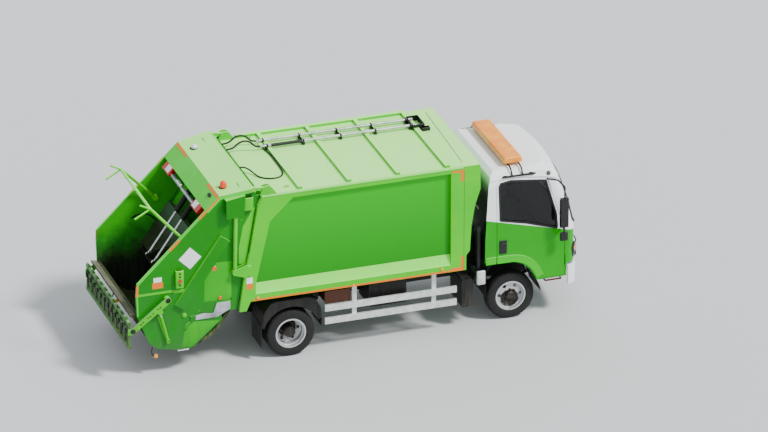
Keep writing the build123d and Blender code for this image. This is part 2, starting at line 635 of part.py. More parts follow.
# Front bumper: a bowed shell with an air slot, on two arms that meet the rails
BUMPER_BOTTOM = 504
BUMPER_TOP = 818
BUMPER_REAR = 4490
TOW_HALF_WIDTH = 42
TOW_BOTTOM = 588
TOW_TOP = 642
TOW_PIN_X = 4697
TOW_PIN_RADIUS = 16
with BuildPart() as front_bumper:
    plan = (3130, 1000, 1000, 4660, FRONT_END)
    extrude(cab_section(BUMPER_BOTTOM, *plan, 0), amount=BUMPER_TOP - BUMPER_BOTTOM)
    extrude(cab_section(BUMPER_BOTTOM, *plan, 45), amount=BUMPER_TOP - BUMPER_BOTTOM, mode=Mode.SUBTRACT)
    block(3000, BUMPER_REAR, -1100, 1100, BUMPER_BOTTOM - 1, BUMPER_TOP + 1, mode=Mode.SUBTRACT)
    block(4500, FRONT_END, -420, 420, 570, 660, mode=Mode.SUBTRACT)
    block(4680, FRONT_END, -60, 60, BUMPER_BOTTOM - 1, 571, mode=Mode.SUBTRACT)
    for side in SIDES:
        pocket = sorted((side * 340, side * 410))
        block(4400, 4695, *pocket, 680, BUMPER_TOP + 1, mode=Mode.SUBTRACT)
        low, high = sorted((side * 430, side * 480))
        block(RAIL_FRONT, 4690, low, high, 560, 780)
        low, high = sorted((side * RAIL_INNER_Y, side * 480))
        block(RAIL_FRONT, RAIL_FRONT + 20, low, high, 645, 695)
    block(4600, 4620, -480, 480, 575, 655)
    block(4620, 4735, -TOW_HALF_WIDTH, TOW_HALF_WIDTH, TOW_BOTTOM, TOW_TOP)
    bar((TOW_PIN_X, 0, TOW_BOTTOM), (TOW_PIN_X, 0, TOW_TOP), TOW_PIN_RADIUS, mode=Mode.SUBTRACT)
finish(front_bumper.part, "front_bumper")

# Cab shell: floor, back, roof, front and pillars round the doorways and window openings
ARCH_LINE = [(3000, 1060), (3133, 1060), (3377, 1038), (3620, 1010), (3760, 950), (3880, 840), (3966, 690), (3990, 600), (3000, 600)]
DOOR_OUTLINE = [
    (3325, 1043), (3325, 2290), (3370, 2368), (3560, 2400), (4160, 2330), (4345, 1722), (4440, 1440),
    (4440, 655), (4047, 650), (3985, 690), (3900, 850), (3775, 968), (3625, 1026),
]
WINDOW_OUTLINE = [(3385, 1735), (3375, 2290), (3400, 2330), (3565, 2352), (4130, 2285), (4290, 1722), (4310, 1478), (3800, 1640)]
CAB_FLOOR = [
    (3140, CAB_FLOOR_UNDER), (3995, CAB_FLOOR_UNDER), (4030, 880), (4800, 880), (4800, 912),
    (4060, 912), (4030, 1100), (3140, 1100),
]
CAB_LUG = [(4580, 900), (4580, 872), (4680, 824), (4702, 826), (4720, 850), (4722, 900)]
SCREEN_OUTLINE = [(-870, 1490), (870, 1490), (905, 1560), (815, 2270), (-815, 2270), (-905, 1560)]
REAR_WINDOW = [(-620, 1800), (620, 1800), (600, 2200), (-600, 2200)]
DOOR_HINGES = [(740, 60), (1270, 60)]
FASCIA_BOTTOM = 860


def window_prism(plane, corners, depth, gap, mode):
    """Cut or keep what lies behind a window's outline, drawn in by a gap."""
    with BuildSketch(plane, mode=Mode.PRIVATE) as view:
        with BuildLine():
            Polyline(*corners, close=True)
        make_face()
        if gap:
            offset(amount=-gap, kind=Kind.INTERSECTION, mode=Mode.REPLACE)
    extrude(view.sketch, amount=depth, mode=mode)


with BuildPart() as cab_shell:
    cab_form(0)
    cab_form(CAB_WALL, mode=Mode.SUBTRACT)
    block(3000, 4800, -1100, 1100, 600, 645, mode=Mode.SUBTRACT)
    across(ARCH_LINE, -BODY_HALF_WIDTH, BODY_HALF_WIDTH, mode=Mode.SUBTRACT)
    block(4470, 4800, -1100, 1100, 600, FASCIA_BOTTOM, mode=Mode.SUBTRACT)
    with BuildPart(mode=Mode.PRIVATE) as floor_zone:
        cab_form(CAB_WALL / 2)
        across(CAB_FLOOR, -BODY_HALF_WIDTH, BODY_HALF_WIDTH, mode=Mode.INTERSECT)
    add(floor_zone.part)
    for side in SIDES:
        block(4056, 4472, *sorted((side * 620, side * 940)), 690, 912)
        block(4080, 4450, *sorted((side * 642, side * BODY_HALF_WIDTH)), 722, 1000, mode=Mode.SUBTRACT)
        lug_side = sorted((side * TILT_LUG_INNER_Y, side * TILT_LUG_OUTER_Y))
        slot = sorted((side * (TILT_BRACKET_INNER_Y - 8), side * (TILT_LUG_OUTER_Y + 12)))
        block(4630, 4724, *slot, 800, 878, mode=Mode.SUBTRACT)
        across(CAB_LUG, *lug_side)
        cross_bar(CAB_TILT_X, CAB_TILT_Z, *lug_side, 22)
        cross_bar(CAB_TILT_X, CAB_TILT_Z, *lug_side, CAB_PIN_RADIUS + PIN_CLEARANCE, mode=Mode.SUBTRACT)
        across(DOOR_OUTLINE, *sorted((side * 860, side * BODY_HALF_WIDTH)), mode=Mode.SUBTRACT)
    front_plane = Plane.YZ.offset(REAR_AXLE_X + 4150)
    window_prism(front_plane, SCREEN_OUTLINE, 600, 0, Mode.SUBTRACT)
    rear_plane = Plane.YZ.offset(REAR_AXLE_X + 3100)
    window_prism(rear_plane, REAR_WINDOW, 200, 0, Mode.SUBTRACT)
    for side in SIDES:
        for low, height in DOOR_HINGES:
            centre = (DOOR_HINGE_X, side * DOOR_HINGE_Y)
            bar((*centre, low - 26), (*centre, low + height + 26), DOOR_HINGE_RADIUS)
            bar((*centre, low - 1), (*centre, low + height + 1), DOOR_HINGE_RADIUS + 8, mode=Mode.SUBTRACT)
            bar((*centre, low - 20), (*centre, low + height + 20), DOOR_PIN_RADIUS)
finish(cab_shell.part, "cab_shell")

# Cab glass: the windscreen and the rear window
with BuildPart() as cab_glass:
    cab_form(GLASS_INSET)
    cab_form(GLASS_INSET + GLASS_THICKNESS, mode=Mode.SUBTRACT)
    with BuildPart(mode=Mode.PRIVATE) as panes:
        window_prism(front_plane, SCREEN_OUTLINE, 600, SEAT_GAP, Mode.ADD)
        window_prism(rear_plane, REAR_WINDOW, 200, SEAT_GAP, Mode.ADD)
    add(panes.part, mode=Mode.INTERSECT)
finish(cab_glass.part, "cab_glass")

# Doors: cut from the cab's own shell, with the window opening, the hinge barrels and the handle
for name, side in (("right", -1), ("left", 1)):
    with BuildPart() as door:
        cab_form(0)
        cab_form(CAB_WALL, mode=Mode.SUBTRACT)
        side_plane = Plane.XZ.offset(-side * 780) if side < 0 else Plane.XZ.offset(-BODY_HALF_WIDTH)
        window_prism(side_plane, ahead(DOOR_OUTLINE), BODY_HALF_WIDTH - 780, DOOR_GAP, Mode.INTERSECT)
        window_prism(side_plane, ahead(WINDOW_OUTLINE), BODY_HALF_WIDTH - 780, 0, Mode.SUBTRACT)
        for low, height in DOOR_HINGES:
            centre = (DOOR_HINGE_X, side * DOOR_HINGE_Y)
            bar((*centre, low), (*centre, low + height), DOOR_HINGE_RADIUS)
            leaf_side = sorted((side * (DOOR_HINGE_Y - 11), side * (DOOR_HINGE_Y - 1)))
            block(DOOR_HINGE_X - 26, DOOR_HINGE_X, *leaf_side, low, low + height)
            bore_radius = DOOR_PIN_RADIUS + PIN_CLEARANCE
            bar((*centre, low), (*centre, low + height), bore_radius, mode=Mode.SUBTRACT)
    finish(door.part, f"door_{name}")
    with BuildPart() as door_glass:
        cab_form(GLASS_INSET)
        cab_form(GLASS_INSET + GLASS_THICKNESS, mode=Mode.SUBTRACT)
        window_prism(side_plane, ahead(WINDOW_OUTLINE), BODY_HALF_WIDTH - 780, SEAT_GAP, Mode.INTERSECT)
    finish(door_glass.part, f"door_glass_{name}")

# Seats: three on the floor, each a cushion and a leaning back
SEATS_Y = (-560, 0, 560)
with BuildPart() as seats:
    for seat_y in SEATS_Y:
        across([(3300, 1100), (3820, 1100), (3850, 1420), (3300, 1400)], seat_y - 230, seat_y + 230)
        across([(3330, 1390), (3440, 1390), (3330, 2030), (3230, 2030), (3235, 1500)], seat_y - 220, seat_y + 220)
finish(seats.part, "seats")

# Dashboard: fitted to the inside of the front, with the steering column and wheel on the left
WHEEL_TILT = Vector(-0.45, 0, 0.9).normalized()
WHEEL_HUB = Vector(REAR_AXLE_X + 4020, 450, 1560)
with BuildPart() as dashboard:
    cab_form(CAB_WALL + SEAT_GAP)
    with BuildPart(mode=Mode.PRIVATE) as dash_zone:
        across([(4180, 1150), (4800, 1150), (4800, 1470), (4250, 1470), (4160, 1400)], -900, 900)
    add(dash_zone.part, mode=Mode.INTERSECT)
    bar((4220, 450, 1250), (4020, 450, 1560), 34)
    with Locations(Plane(origin=WHEEL_HUB, z_dir=WHEEL_TILT)):
        Torus(200, 15)
        Cylinder(45, 26)
        Box(400, 34, 14)
finish(dashboard.part, "dashboard")

# Roof rack and light bar
RACK_X = (3590, 3760)
RACK_Z = 2545
RACK_RAIL_Y = 930
RACK_RAIL_Z = 2428
RACK_RADIUS = 12
with BuildPart() as roof_rack:
    for side in SIDES:
        bar((3430, side * RACK_RAIL_Y, RACK_RAIL_Z), (3965, side * RACK_RAIL_Y, RACK_RAIL_Z), 15)
        for foot_x in (3480, 3900):
            foot_side = sorted((side * (RACK_RAIL_Y - 70), side * RACK_RAIL_Y))
            block(foot_x - 25, foot_x + 25, *foot_side, RACK_RAIL_Z - 12, RACK_RAIL_Z + 12)
    for rack_x in RACK_X:
        for side in SIDES:
            knees = [(RACK_RAIL_Y, RACK_RAIL_Z), (860, RACK_Z - 25), (760, RACK_Z)]
            for start, end in zip(knees, knees[1:]):
                bar((rack_x, side * start[0], start[1]), (rack_x, side * end[0], end[1]), RACK_RADIUS)
                with Locations((REAR_AXLE_X + rack_x, side * end[0], end[1])):
                    Sphere(RACK_RADIUS)
        cross_bar(rack_x, RACK_Z, -760, 760, RACK_RADIUS)
    cab_form(-SEAT_GAP, mode=Mode.SUBTRACT)
finish(roof_rack.part, "roof_rack")

with BuildPart() as light_bar:
    bar_bottom = RACK_Z + RACK_RADIUS + SEAT_GAP
    block(3525, 3824, -730, 730, bar_bottom, bar_bottom + 85)
    fillet(light_bar.edges().filter_by(Axis.Y).group_by(Axis.Z)[-1], 34)
    fillet(light_bar.edges().filter_by(Axis.Z), 20)
finish(light_bar.part, "light_bar")

# Headlamps and grille, proud of the cab's front
with BuildPart() as headlamps:
    cab_form(-22)
    cab_form(-SEAT_GAP, mode=Mode.SUBTRACT)
    with BuildPart(mode=Mode.PRIVATE) as lamp_zone:
        for side in SIDES:
            low, high = sorted((side * 610, side * 1100))
            across([(4600, 920), (4600, 1100), (4630, 1170), (4800, 1170), (4800, 920)], low, high)
    add(lamp_zone.part, mode=Mode.INTERSECT)
finish(headlamps.part, "headlamps")

with BuildPart() as front_grille:
    cab_form(-8)
    cab_form(-SEAT_GAP, mode=Mode.SUBTRACT)
    with BuildPart(mode=Mode.PRIVATE) as grille_zone:
        block(4500, 4800, -560, 560, 1000, 1190)
        for slot in range(3):
            block(4500, 4800, -520, 520, 1022 + slot * 54, 1052 + slot * 54, mode=Mode.SUBTRACT)
    add(grille_zone.part, mode=Mode.INTERSECT)
finish(front_grille.part, "front_grille")

# Mirrors: an arm on the door's frame, a tall glass and a small one under it
for name, side in (("right", -1), ("left", 1)):
    with BuildPart() as mirror:
        block(4300, 4435, *sorted((side * 1100, side * 1165)), 1552, 2029)
        block(4310, 4430, *sorted((side * 1100, side * 1155)), 1323, 1450)
        fillet(mirror.edges().filter_by(Axis.Z), 20)
        arm = [(4148, 925, 2303), (4300, 1020, 2296), (4372, 1132, 2220), (4372, 1132, 1400)]
        for start, end in zip(arm, arm[1:]):
            bar((start[0], side * start[1], start[2]), (end[0], side * end[1], end[2]), 13)
            with Locations((REAR_AXLE_X + end[0], side * end[1], end[2])):
                Sphere(13)
        bar((4372, side * 1132, 1500), (4390, side * 970, 1500), 13)
        cab_form(-SEAT_GAP, mode=Mode.SUBTRACT)
    finish(mirror.part, f"mirror_{name}")

# Tailgate sides: plate, guide beam, belt, the cylinder's head housing and the bin lift's pivots
TAIL_FRONT = [(-480, 2780), (-545, 2621), (-681, 1843), (-763, 1521), (-850, 931)]
TAIL_OUTLINE = TAIL_FRONT + [
    (-1099, 931), (-1100, 796), (-1560, 400), (-1771, 392), (-2118, 458), (-2243, 562), (-2440, 1040),
    (-2450, 1350), (-2430, 1580), (-1342, 2638), (-1300, 2598), (-1095, 2793), (-600, 2872), (-560, 2860), (-530, 2780),
]
SHELF_FRONT = -560
TAIL_ROOF = [
    (SHELF_FRONT, 2900), (-600, 2932), (-1120, 2850), (-1342, 2638), (-1300, 2598), (-1095, 2793), (-600, 2872), (SHELF_FRONT, 2860),
]


def tail_roof_z(x):
    """Give the height of the tailgate roof's top plate at a distance from the rear axle."""
    (front_x, front_z), (rear_x, rear_z) = TAIL_ROOF[1], TAIL_ROOF[2]
    return front_z + (rear_z - front_z) * (x - front_x) / (rear_x - front_x)


def roof_under_z(x):
    """Give the height of the tailgate roof's underside at a distance from the rear axle."""
    (rear_x, rear_z), (front_x, front_z) = TAIL_ROOF[5], TAIL_ROOF[6]
    return front_z + (rear_z - front_z) * (x - front_x) / (rear_x - front_x)


BEAM_HALF_WIDTH = 90
BEAM_PROUD_Y = 1084
BEAM_SHALLOW_Y = 1052
HEAD_CHEEK = (1128, 1140)
HEAD_TOP = [(x, roof_under_z(x) - SEAT_GAP) for x in (-740, -1046)]
HEAD_HOUSING = [(-1040, 2490), (-762, 2520), *HEAD_TOP]
HEAD_CAP = [*HEAD_TOP, (-1034, 2788), (-740, 2835)]
for name, side in (("right", -1), ("left", 1)):
    with BuildPart() as tail_side:
        across(TAIL_OUTLINE, *sorted((side * TAIL_INNER_Y, side * TAIL_OUTER_Y)))
        beam = sorted((side * TAIL_OUTER_Y, side * BEAM_PROUD_Y))
        across(guide_band(-70, 1200, -BEAM_HALF_WIDTH, BEAM_HALF_WIDTH), *beam)
        shallow = sorted((side * TAIL_OUTER_Y, side * BEAM_SHALLOW_Y))
        across(guide_band(1200, 1560, -BEAM_HALF_WIDTH, BEAM_HALF_WIDTH), *shallow)
        across([(-962, 1100), (-962, 960), (-1180, 850), (-1600, 850), (-1600, 930), (-1240, 930), (-1180, 1100)], *shallow)
        block(-2426, -1860, *sorted((side * TAIL_OUTER_Y, side * 1046)), 1372, 1410)
        groove = sorted((side * TAIL_INNER_Y, side * (TAIL_INNER_Y + GUIDE_DEPTH)))
        across(guide_band(40, 1560, -GUIDE_HALF_WIDTH, GUIDE_HALF_WIDTH), *groove, mode=Mode.SUBTRACT)
        cheek = sorted((side * HEAD_CHEEK[0], side * HEAD_CHEEK[1]))
        across(HEAD_HOUSING, *cheek)
        across(HEAD_CAP, *sorted((side * TAIL_OUTER_Y, side * HEAD_CHEEK[1])))
        pivot = sorted((side * TAIL_OUTER_Y, side * (BIN_ARM_OUTER_Y + 8)))
        cross_bar(BIN_PIVOT_X, BIN_PIVOT_Z, *pivot, BIN_PIN_RADIUS)
        boss = sorted((side * TAIL_OUTER_Y, side * (BIN_ARM_INNER_Y - SEAT_GAP)))
        cross_bar(BIN_PIVOT_X, BIN_PIVOT_Z, *boss, 48)
        foot = sorted((side * TAIL_OUTER_Y, side * 1098))
        cross_bar(BIN_FOOT_X, BIN_FOOT_Z, *foot, BIN_EYE_PIN_RADIUS)
    finish(tail_side.part, f"tailgate_side_{name}")

# Tailgate roof: the top plate, its slanted rear panel and the hinge arms
HINGE_ARM = (1012, 1058)
with BuildPart() as tailgate_roof:
    across(TAIL_ROOF, -BODY_HALF_WIDTH, BODY_HALF_WIDTH)
    with BuildSketch(Plane.XY.offset(2500), mode=Mode.PRIVATE) as taper:
        for side in SIDES:
            with BuildLine():
                Polyline(
                    (REAR_AXLE_X - 640, side * BODY_HALF_WIDTH), (REAR_AXLE_X - 1120, side * TAIL_OUTER_Y),
                    (REAR_AXLE_X - 1400, side * TAIL_OUTER_Y), (REAR_AXLE_X - 1400, side * (BODY_HALF_WIDTH + 9)),
                    (REAR_AXLE_X - 640, side * (BODY_HALF_WIDTH + 9)), close=True,
                )
            make_face()
    extrude(taper.sketch, amount=500, mode=Mode.SUBTRACT)
    for side in SIDES:
        arm_side = sorted((side * HINGE_ARM[0], side * HINGE_ARM[1]))
        across([(-720, 2880), (-600, 2880), (-520, 2862), (-380, 2810), (-380, 2890), (-600, 2925)], *arm_side)
        cross_bar(HINGE_X, HINGE_Z, *arm_side, 40)
        cross_bar(HINGE_X, HINGE_Z, *arm_side, HINGE_PIN_RADIUS + PIN_CLEARANCE, mode=Mode.SUBTRACT)
finish(tailgate_roof.part, "tailgate_roof")

# Hopper trough: a round bottom swept by the blade, a ramp to the load space and the loading sill
TROUGH_START = 187
TROUGH_SWEEP = 143
SILL = [(-2444, 1050), (-2536, 1082), (-2540, 1052), (-2450, 985), (-2395, 1040)]


def on_trough(radius, angle):
    """Give a side-view point on the trough by its radius and its angle from straight ahead."""
    return (TROUGH_X + radius * cos(radians(angle)), TROUGH_Z + radius * sin(radians(angle)))


with BuildPart() as hopper_trough:
    with BuildSketch(Plane.XZ.offset(-TAIL_INNER_Y), mode=Mode.PRIVATE) as trough_view:
        with BuildLine():
            centre = ahead([(TROUGH_X, TROUGH_Z)])[0]
            inside = CenterArc(centre, TROUGH_RADIUS, TROUGH_START, TROUGH_SWEEP)
            outside = CenterArc(centre, TROUGH_RADIUS + TROUGH_PLATE, TROUGH_START, TROUGH_SWEEP)
            Line(inside @ 0, outside @ 0)
            Line(inside @ 1, outside @ 1)
        make_face()
    extrude(trough_view.sketch, amount=2 * TAIL_INNER_Y)
    trough_end = TROUGH_START + TROUGH_SWEEP
    ramp = [on_trough(TROUGH_RADIUS, trough_end), on_trough(TROUGH_RADIUS + TROUGH_PLATE, trough_end), (-838, 1045), (-838, 1080), (-870, 1088)]
    across(ramp, -TAIL_INNER_Y, TAIL_INNER_Y)
    across(SILL, -TAIL_INNER_Y, TAIL_INNER_Y)
finish(hopper_trough.part, "hopper_trough")

# Lid opener: a bent tube frame over the hopper's mouth, with two fingers at each end
OPENER_RADIUS = 22
OPENER_FOOT = (-1508, 976, 1998)
OPENER_CORNER = (-2115, 750, 2660)
OPENER_FINGERS = [(-2360, 750, 2525), (-2280, 750, 2745)]
with BuildPart() as lid_opener:
    for side in SIDES:
        foot, corner = [(x, side * y, z) for x, y, z in (OPENER_FOOT, OPENER_CORNER)]
        bar(foot, corner, OPENER_RADIUS)
        for x, y, z in OPENER_FINGERS:
            bar(corner, (x, side * y, z), 15)
        with Locations((REAR_AXLE_X + corner[0], corner[1], corner[2])):
            Sphere(OPENER_RADIUS + 2)
        cross_bar(OPENER_FOOT[0], OPENER_FOOT[2], *sorted((side * 945, side * TAIL_INNER_Y)), 45)
    cross_bar(OPENER_CORNER[0], OPENER_CORNER[2], -OPENER_CORNER[1], OPENER_CORNER[1], OPENER_RADIUS)
    for knob_y in (-100, 400):
        bar((OPENER_CORNER[0], knob_y, OPENER_CORNER[2]), (-2160, knob_y, 2700), 16)
finish(lid_opener.part, "lid_opener")

# Rear lamp clusters and beacons
with BuildPart() as rear_lamps:
    on_both_sides([(-1342, 2638), (-1300, 2598), (-1345, 2470), (-1432, 2545)], 560, 860)
finish(rear_lamps.part, "rear_lamps")

BEACONS = [(-979, -788, 55, 95), (-965, 686, 60, 60)]

roof_slope = degrees(atan2(TAIL_ROOF[1][1] - TAIL_ROOF[2][1], TAIL_ROOF[1][0] - TAIL_ROOF[2][0]))
roof_normal = Vector(-sin(radians(roof_slope)), 0, cos(radians(roof_slope)))
with BuildPart() as beacons:
    for x, y, radius, height in BEACONS:
        foot = Vector(REAR_AXLE_X + x, y, tail_roof_z(x)) + roof_normal * SEAT_GAP
        with BuildSketch(Plane(origin=foot, z_dir=roof_normal), mode=Mode.PRIVATE) as base:
            Circle(radius)
        extrude(base.sketch, amount=height, taper=4)
finish(beacons.part, "beacons")

# Packer cylinders: barrels hung from the tailgate roof, rods pinned to the carriage
ROD_UP = 150
ROD_REAR = 300
BARREL_START = 800
BARREL_END = 1540
ROD_LENGTH = 880
ROD_EYE_RADIUS = 38
ROD_EYE_HALF = 14
ROD_NECK = 80
PACKER_PIN_RADIUS = 15
eye_x, eye_z = along_guide(ROD_UP, ROD_REAR)
with BuildPart() as packer_barrels:
    low_x, low_z = along_guide(ROD_UP + BARREL_START, ROD_REAR)
    bore_x, bore_z = along_guide(ROD_UP + BARREL_END - 8, ROD_REAR)
    high_x, high_z = along_guide(ROD_UP + BARREL_END, ROD_REAR)
    hanger = [(x, roof_under_z(x)) for x in (high_x + 40, high_x - 40)]
    for side in SIDES:
        y = side * PACKER_ROD_Y
        bar((low_x, y, low_z), (high_x, y, high_z), PACKER_BARREL_RADIUS)
        across([(high_x - 40, high_z - 20), (high_x + 40, high_z - 20), *hanger], y - 15, y + 15)
        bar((low_x, y, low_z), (bore_x, y, bore_z), PACKER_ROD_RADIUS + PIN_CLEARANCE, mode=Mode.SUBTRACT)
finish(packer_barrels.part, "packer_barrels")

with BuildPart() as packer_rods:
    for side in SIDES:
        y = side * PACKER_ROD_Y
        top_x, top_z = along_guide(ROD_UP + ROD_LENGTH, ROD_REAR)
        bar((eye_x, y, eye_z), (top_x, y, top_z), PACKER_ROD_RADIUS)
        cross_bar(eye_x, eye_z, y - ROD_EYE_HALF, y + ROD_EYE_HALF, ROD_EYE_RADIUS)
        cross_bar(eye_x, eye_z, y - ROD_EYE_HALF - 9, y + ROD_EYE_HALF + 9, PACKER_PIN_RADIUS + PIN_CLEARANCE, mode=Mode.SUBTRACT)
    for side in SIDES:
        y = side * PACKER_ROD_Y
        outer = sorted((y + side * ROD_EYE_HALF, y + side * 60))
        inner = sorted((y - side * ROD_EYE_HALF, y - side * 60))
        for band in (outer, inner):
            cross_bar(eye_x, eye_z, *band, ROD_NECK, mode=Mode.SUBTRACT)
finish(packer_rods.part, "packer_rods")

# Packer carriage: a box plate on shoes in the guides, lugs for the rods and the blade's hinge
HINGE_LUGS_Y = [(-950, -925), (-12, 12), (925, 950)]
BLADE_PIN_RADIUS = 20
SHOES = [(110, 270), (650, 810)]
with BuildPart() as packer_carriage:
    plate = guide_band(75, CARRIAGE_LENGTH, -CARRIAGE_HALF_THICKNESS, CARRIAGE_HALF_THICKNESS)
    across(plate, -CARRIAGE_HALF_WIDTH, CARRIAGE_HALF_WIDTH)
    for low, high in SHOES:
        shoe = guide_band(low, high, -GUIDE_HALF_WIDTH + SEAT_GAP, GUIDE_HALF_WIDTH - SEAT_GAP)
        reach = TAIL_INNER_Y + GUIDE_DEPTH - 5
        across(shoe, -reach, reach)
    for low, high in HINGE_LUGS_Y:
        across(guide_band(0, 90, -45, 45), low, high)
        cross_bar(BLADE_PIVOT_X, BLADE_PIVOT_Z, low, high, 45)
    cross_bar(BLADE_PIVOT_X, BLADE_PIVOT_Z, HINGE_LUGS_Y[0][0], HINGE_LUGS_Y[-1][1], BLADE_PIN_RADIUS)
    for side in SIDES:
        for offset_y in (-1, 1):
            ear = sorted((side * PACKER_ROD_Y + offset_y * (ROD_EYE_HALF + SEAT_GAP),
                          side * PACKER_ROD_Y + offset_y * (ROD_EYE_HALF + 18)))
            across([along_guide(90, 55), along_guide(420, 55), along_guide(185, 310), along_guide(120, 290)], *ear)
            cross_bar(eye_x, eye_z, *ear, 36)
        pin = sorted((side * PACKER_ROD_Y - ROD_EYE_HALF - 10, side * PACKER_ROD_Y + ROD_EYE_HALF + 10))
        cross_bar(eye_x, eye_z, *pin, PACKER_PIN_RADIUS)
finish(packer_carriage.part, "packer_carriage")

# Sweep blade: a bent plate with ribs, hung on the carriage's hinge pin
BLADE_ANGLE = -70
BLADE_HALF_WIDTH = 988
BLADE_SECTION = [
    (20, -28), (330, -28), (560, -8), (640, 45), (650, 22), (585, -48), (360, -72), (20, -62),
]
BLADE_RIB = [(30, -20), (30, 40), (200, 66), (480, 20), (560, 0), (330, -30)]


def on_blade(points):
    """Turn points given along the blade and rearward of it into side-view points."""
    run = Vector(cos(radians(BLADE_ANGLE)), sin(radians(BLADE_ANGLE)))
    back = Vector(run.Y, -run.X)
    return [(BLADE_PIVOT_X + u * run.X + v * back.X, BLADE_PIVOT_Z + u * run.Y + v * back.Y) for u, v in points]


with BuildPart() as sweep_blade:
    across(on_blade(BLADE_SECTION), -BLADE_HALF_WIDTH, BLADE_HALF_WIDTH)
    for rib_y in (-640, -300, 300, 640):
        across(on_blade(BLADE_RIB), rib_y - 12, rib_y + 12)
    for low, high in HINGE_LUGS_Y:
        cross_bar(BLADE_PIVOT_X, BLADE_PIVOT_Z, low - 5, high + 5, 78, mode=Mode.SUBTRACT)
    for low, high in zip(HINGE_LUGS_Y, HINGE_LUGS_Y[1:]):
        cross_bar(BLADE_PIVOT_X, BLADE_PIVOT_Z, low[1] + 1, high[0] - 1, 42)
    cross_bar(BLADE_PIVOT_X, BLADE_PIVOT_Z, -960, 960, BLADE_PIN_RADIUS + PIN_CLEARANCE, mode=Mode.SUBTRACT)
finish(sweep_blade.part, "sweep_blade")

# Tailgate lift cylinders: barrels on the body's ears, rods up to the tailgate's housings
lift_length = hypot(LIFT_HEAD_X - LIFT_FOOT_X, LIFT_HEAD_Z - LIFT_FOOT_Z)


def on_lift(distance):
    """Give a side-view point on a lift cylinder by its distance from the foot pin."""
    share = distance / lift_length
    return (LIFT_FOOT_X + share * (LIFT_HEAD_X - LIFT_FOOT_X), LIFT_FOOT_Z + share * (LIFT_HEAD_Z - LIFT_FOOT_Z))


LIFT_NECK = 60
LIFT_EYE_HALF = 26
LIFT_BARREL_TOP = 915
LIFT_ROD_BOTTOM = 150
with BuildPart() as lift_barrels:
    for side in SIDES:
        y = side * LIFT_Y
        top_x, top_z = on_lift(LIFT_BARREL_TOP)
        neck_x, neck_z = on_lift(LIFT_NECK)
        bar((LIFT_FOOT_X, y, LIFT_FOOT_Z), (neck_x, y, neck_z), LIFT_EYE_HALF)
        bar((neck_x, y, neck_z), (top_x, y, top_z), LIFT_BARREL_RADIUS)
        eye_side = (y - LIFT_EYE_HALF, y + LIFT_EYE_HALF)
        cross_bar(LIFT_FOOT_X, LIFT_FOOT_Z, *eye_side, LIFT_EYE_RADIUS)
        cross_bar(LIFT_FOOT_X, LIFT_FOOT_Z, *eye_side, LIFT_PIN_RADIUS + PIN_CLEARANCE, mode=Mode.SUBTRACT)
        bore_x, bore_z = on_lift(LIFT_ROD_BOTTOM - 20)
        bar((bore_x, y, bore_z), (top_x, y, top_z), LIFT_ROD_RADIUS + PIN_CLEARANCE, mode=Mode.SUBTRACT)
finish(lift_barrels.part, "lift_barrels")

with BuildPart() as lift_rods:
    for side in SIDES:
        y = side * LIFT_Y
        low_x, low_z = on_lift(LIFT_ROD_BOTTOM)
        bar((low_x, y, low_z), (LIFT_HEAD_X, y, LIFT_HEAD_Z), LIFT_ROD_RADIUS)
        cross_bar(LIFT_HEAD_X, LIFT_HEAD_Z, y - 24, y + 24, 36)
        pin_side = sorted((side * (TAIL_OUTER_Y + SEAT_GAP), side * (HEAD_CHEEK[0] - SEAT_GAP)))
        cross_bar(LIFT_HEAD_X, LIFT_HEAD_Z, *pin_side, LIFT_PIN_RADIUS)
finish(lift_rods.part, "lift_rods")

# Bin lift: two flat arms with the comb frame between their ends
arm_length = hypot(BIN_ARM_END_X - BIN_PIVOT_X, BIN_ARM_END_Z - BIN_PIVOT_Z)
arm_run = ((BIN_ARM_END_X - BIN_PIVOT_X) / arm_length, (BIN_ARM_END_Z - BIN_PIVOT_Z) / arm_length)


def on_arm(along, aside):
    """Give a side-view point by its distance along the bin lift's arm and to its upper side."""
    return (
        BIN_PIVOT_X + along * arm_run[0] + aside * arm_run[1],
        BIN_PIVOT_Z + along * arm_run[1] - aside * arm_run[0],
    )


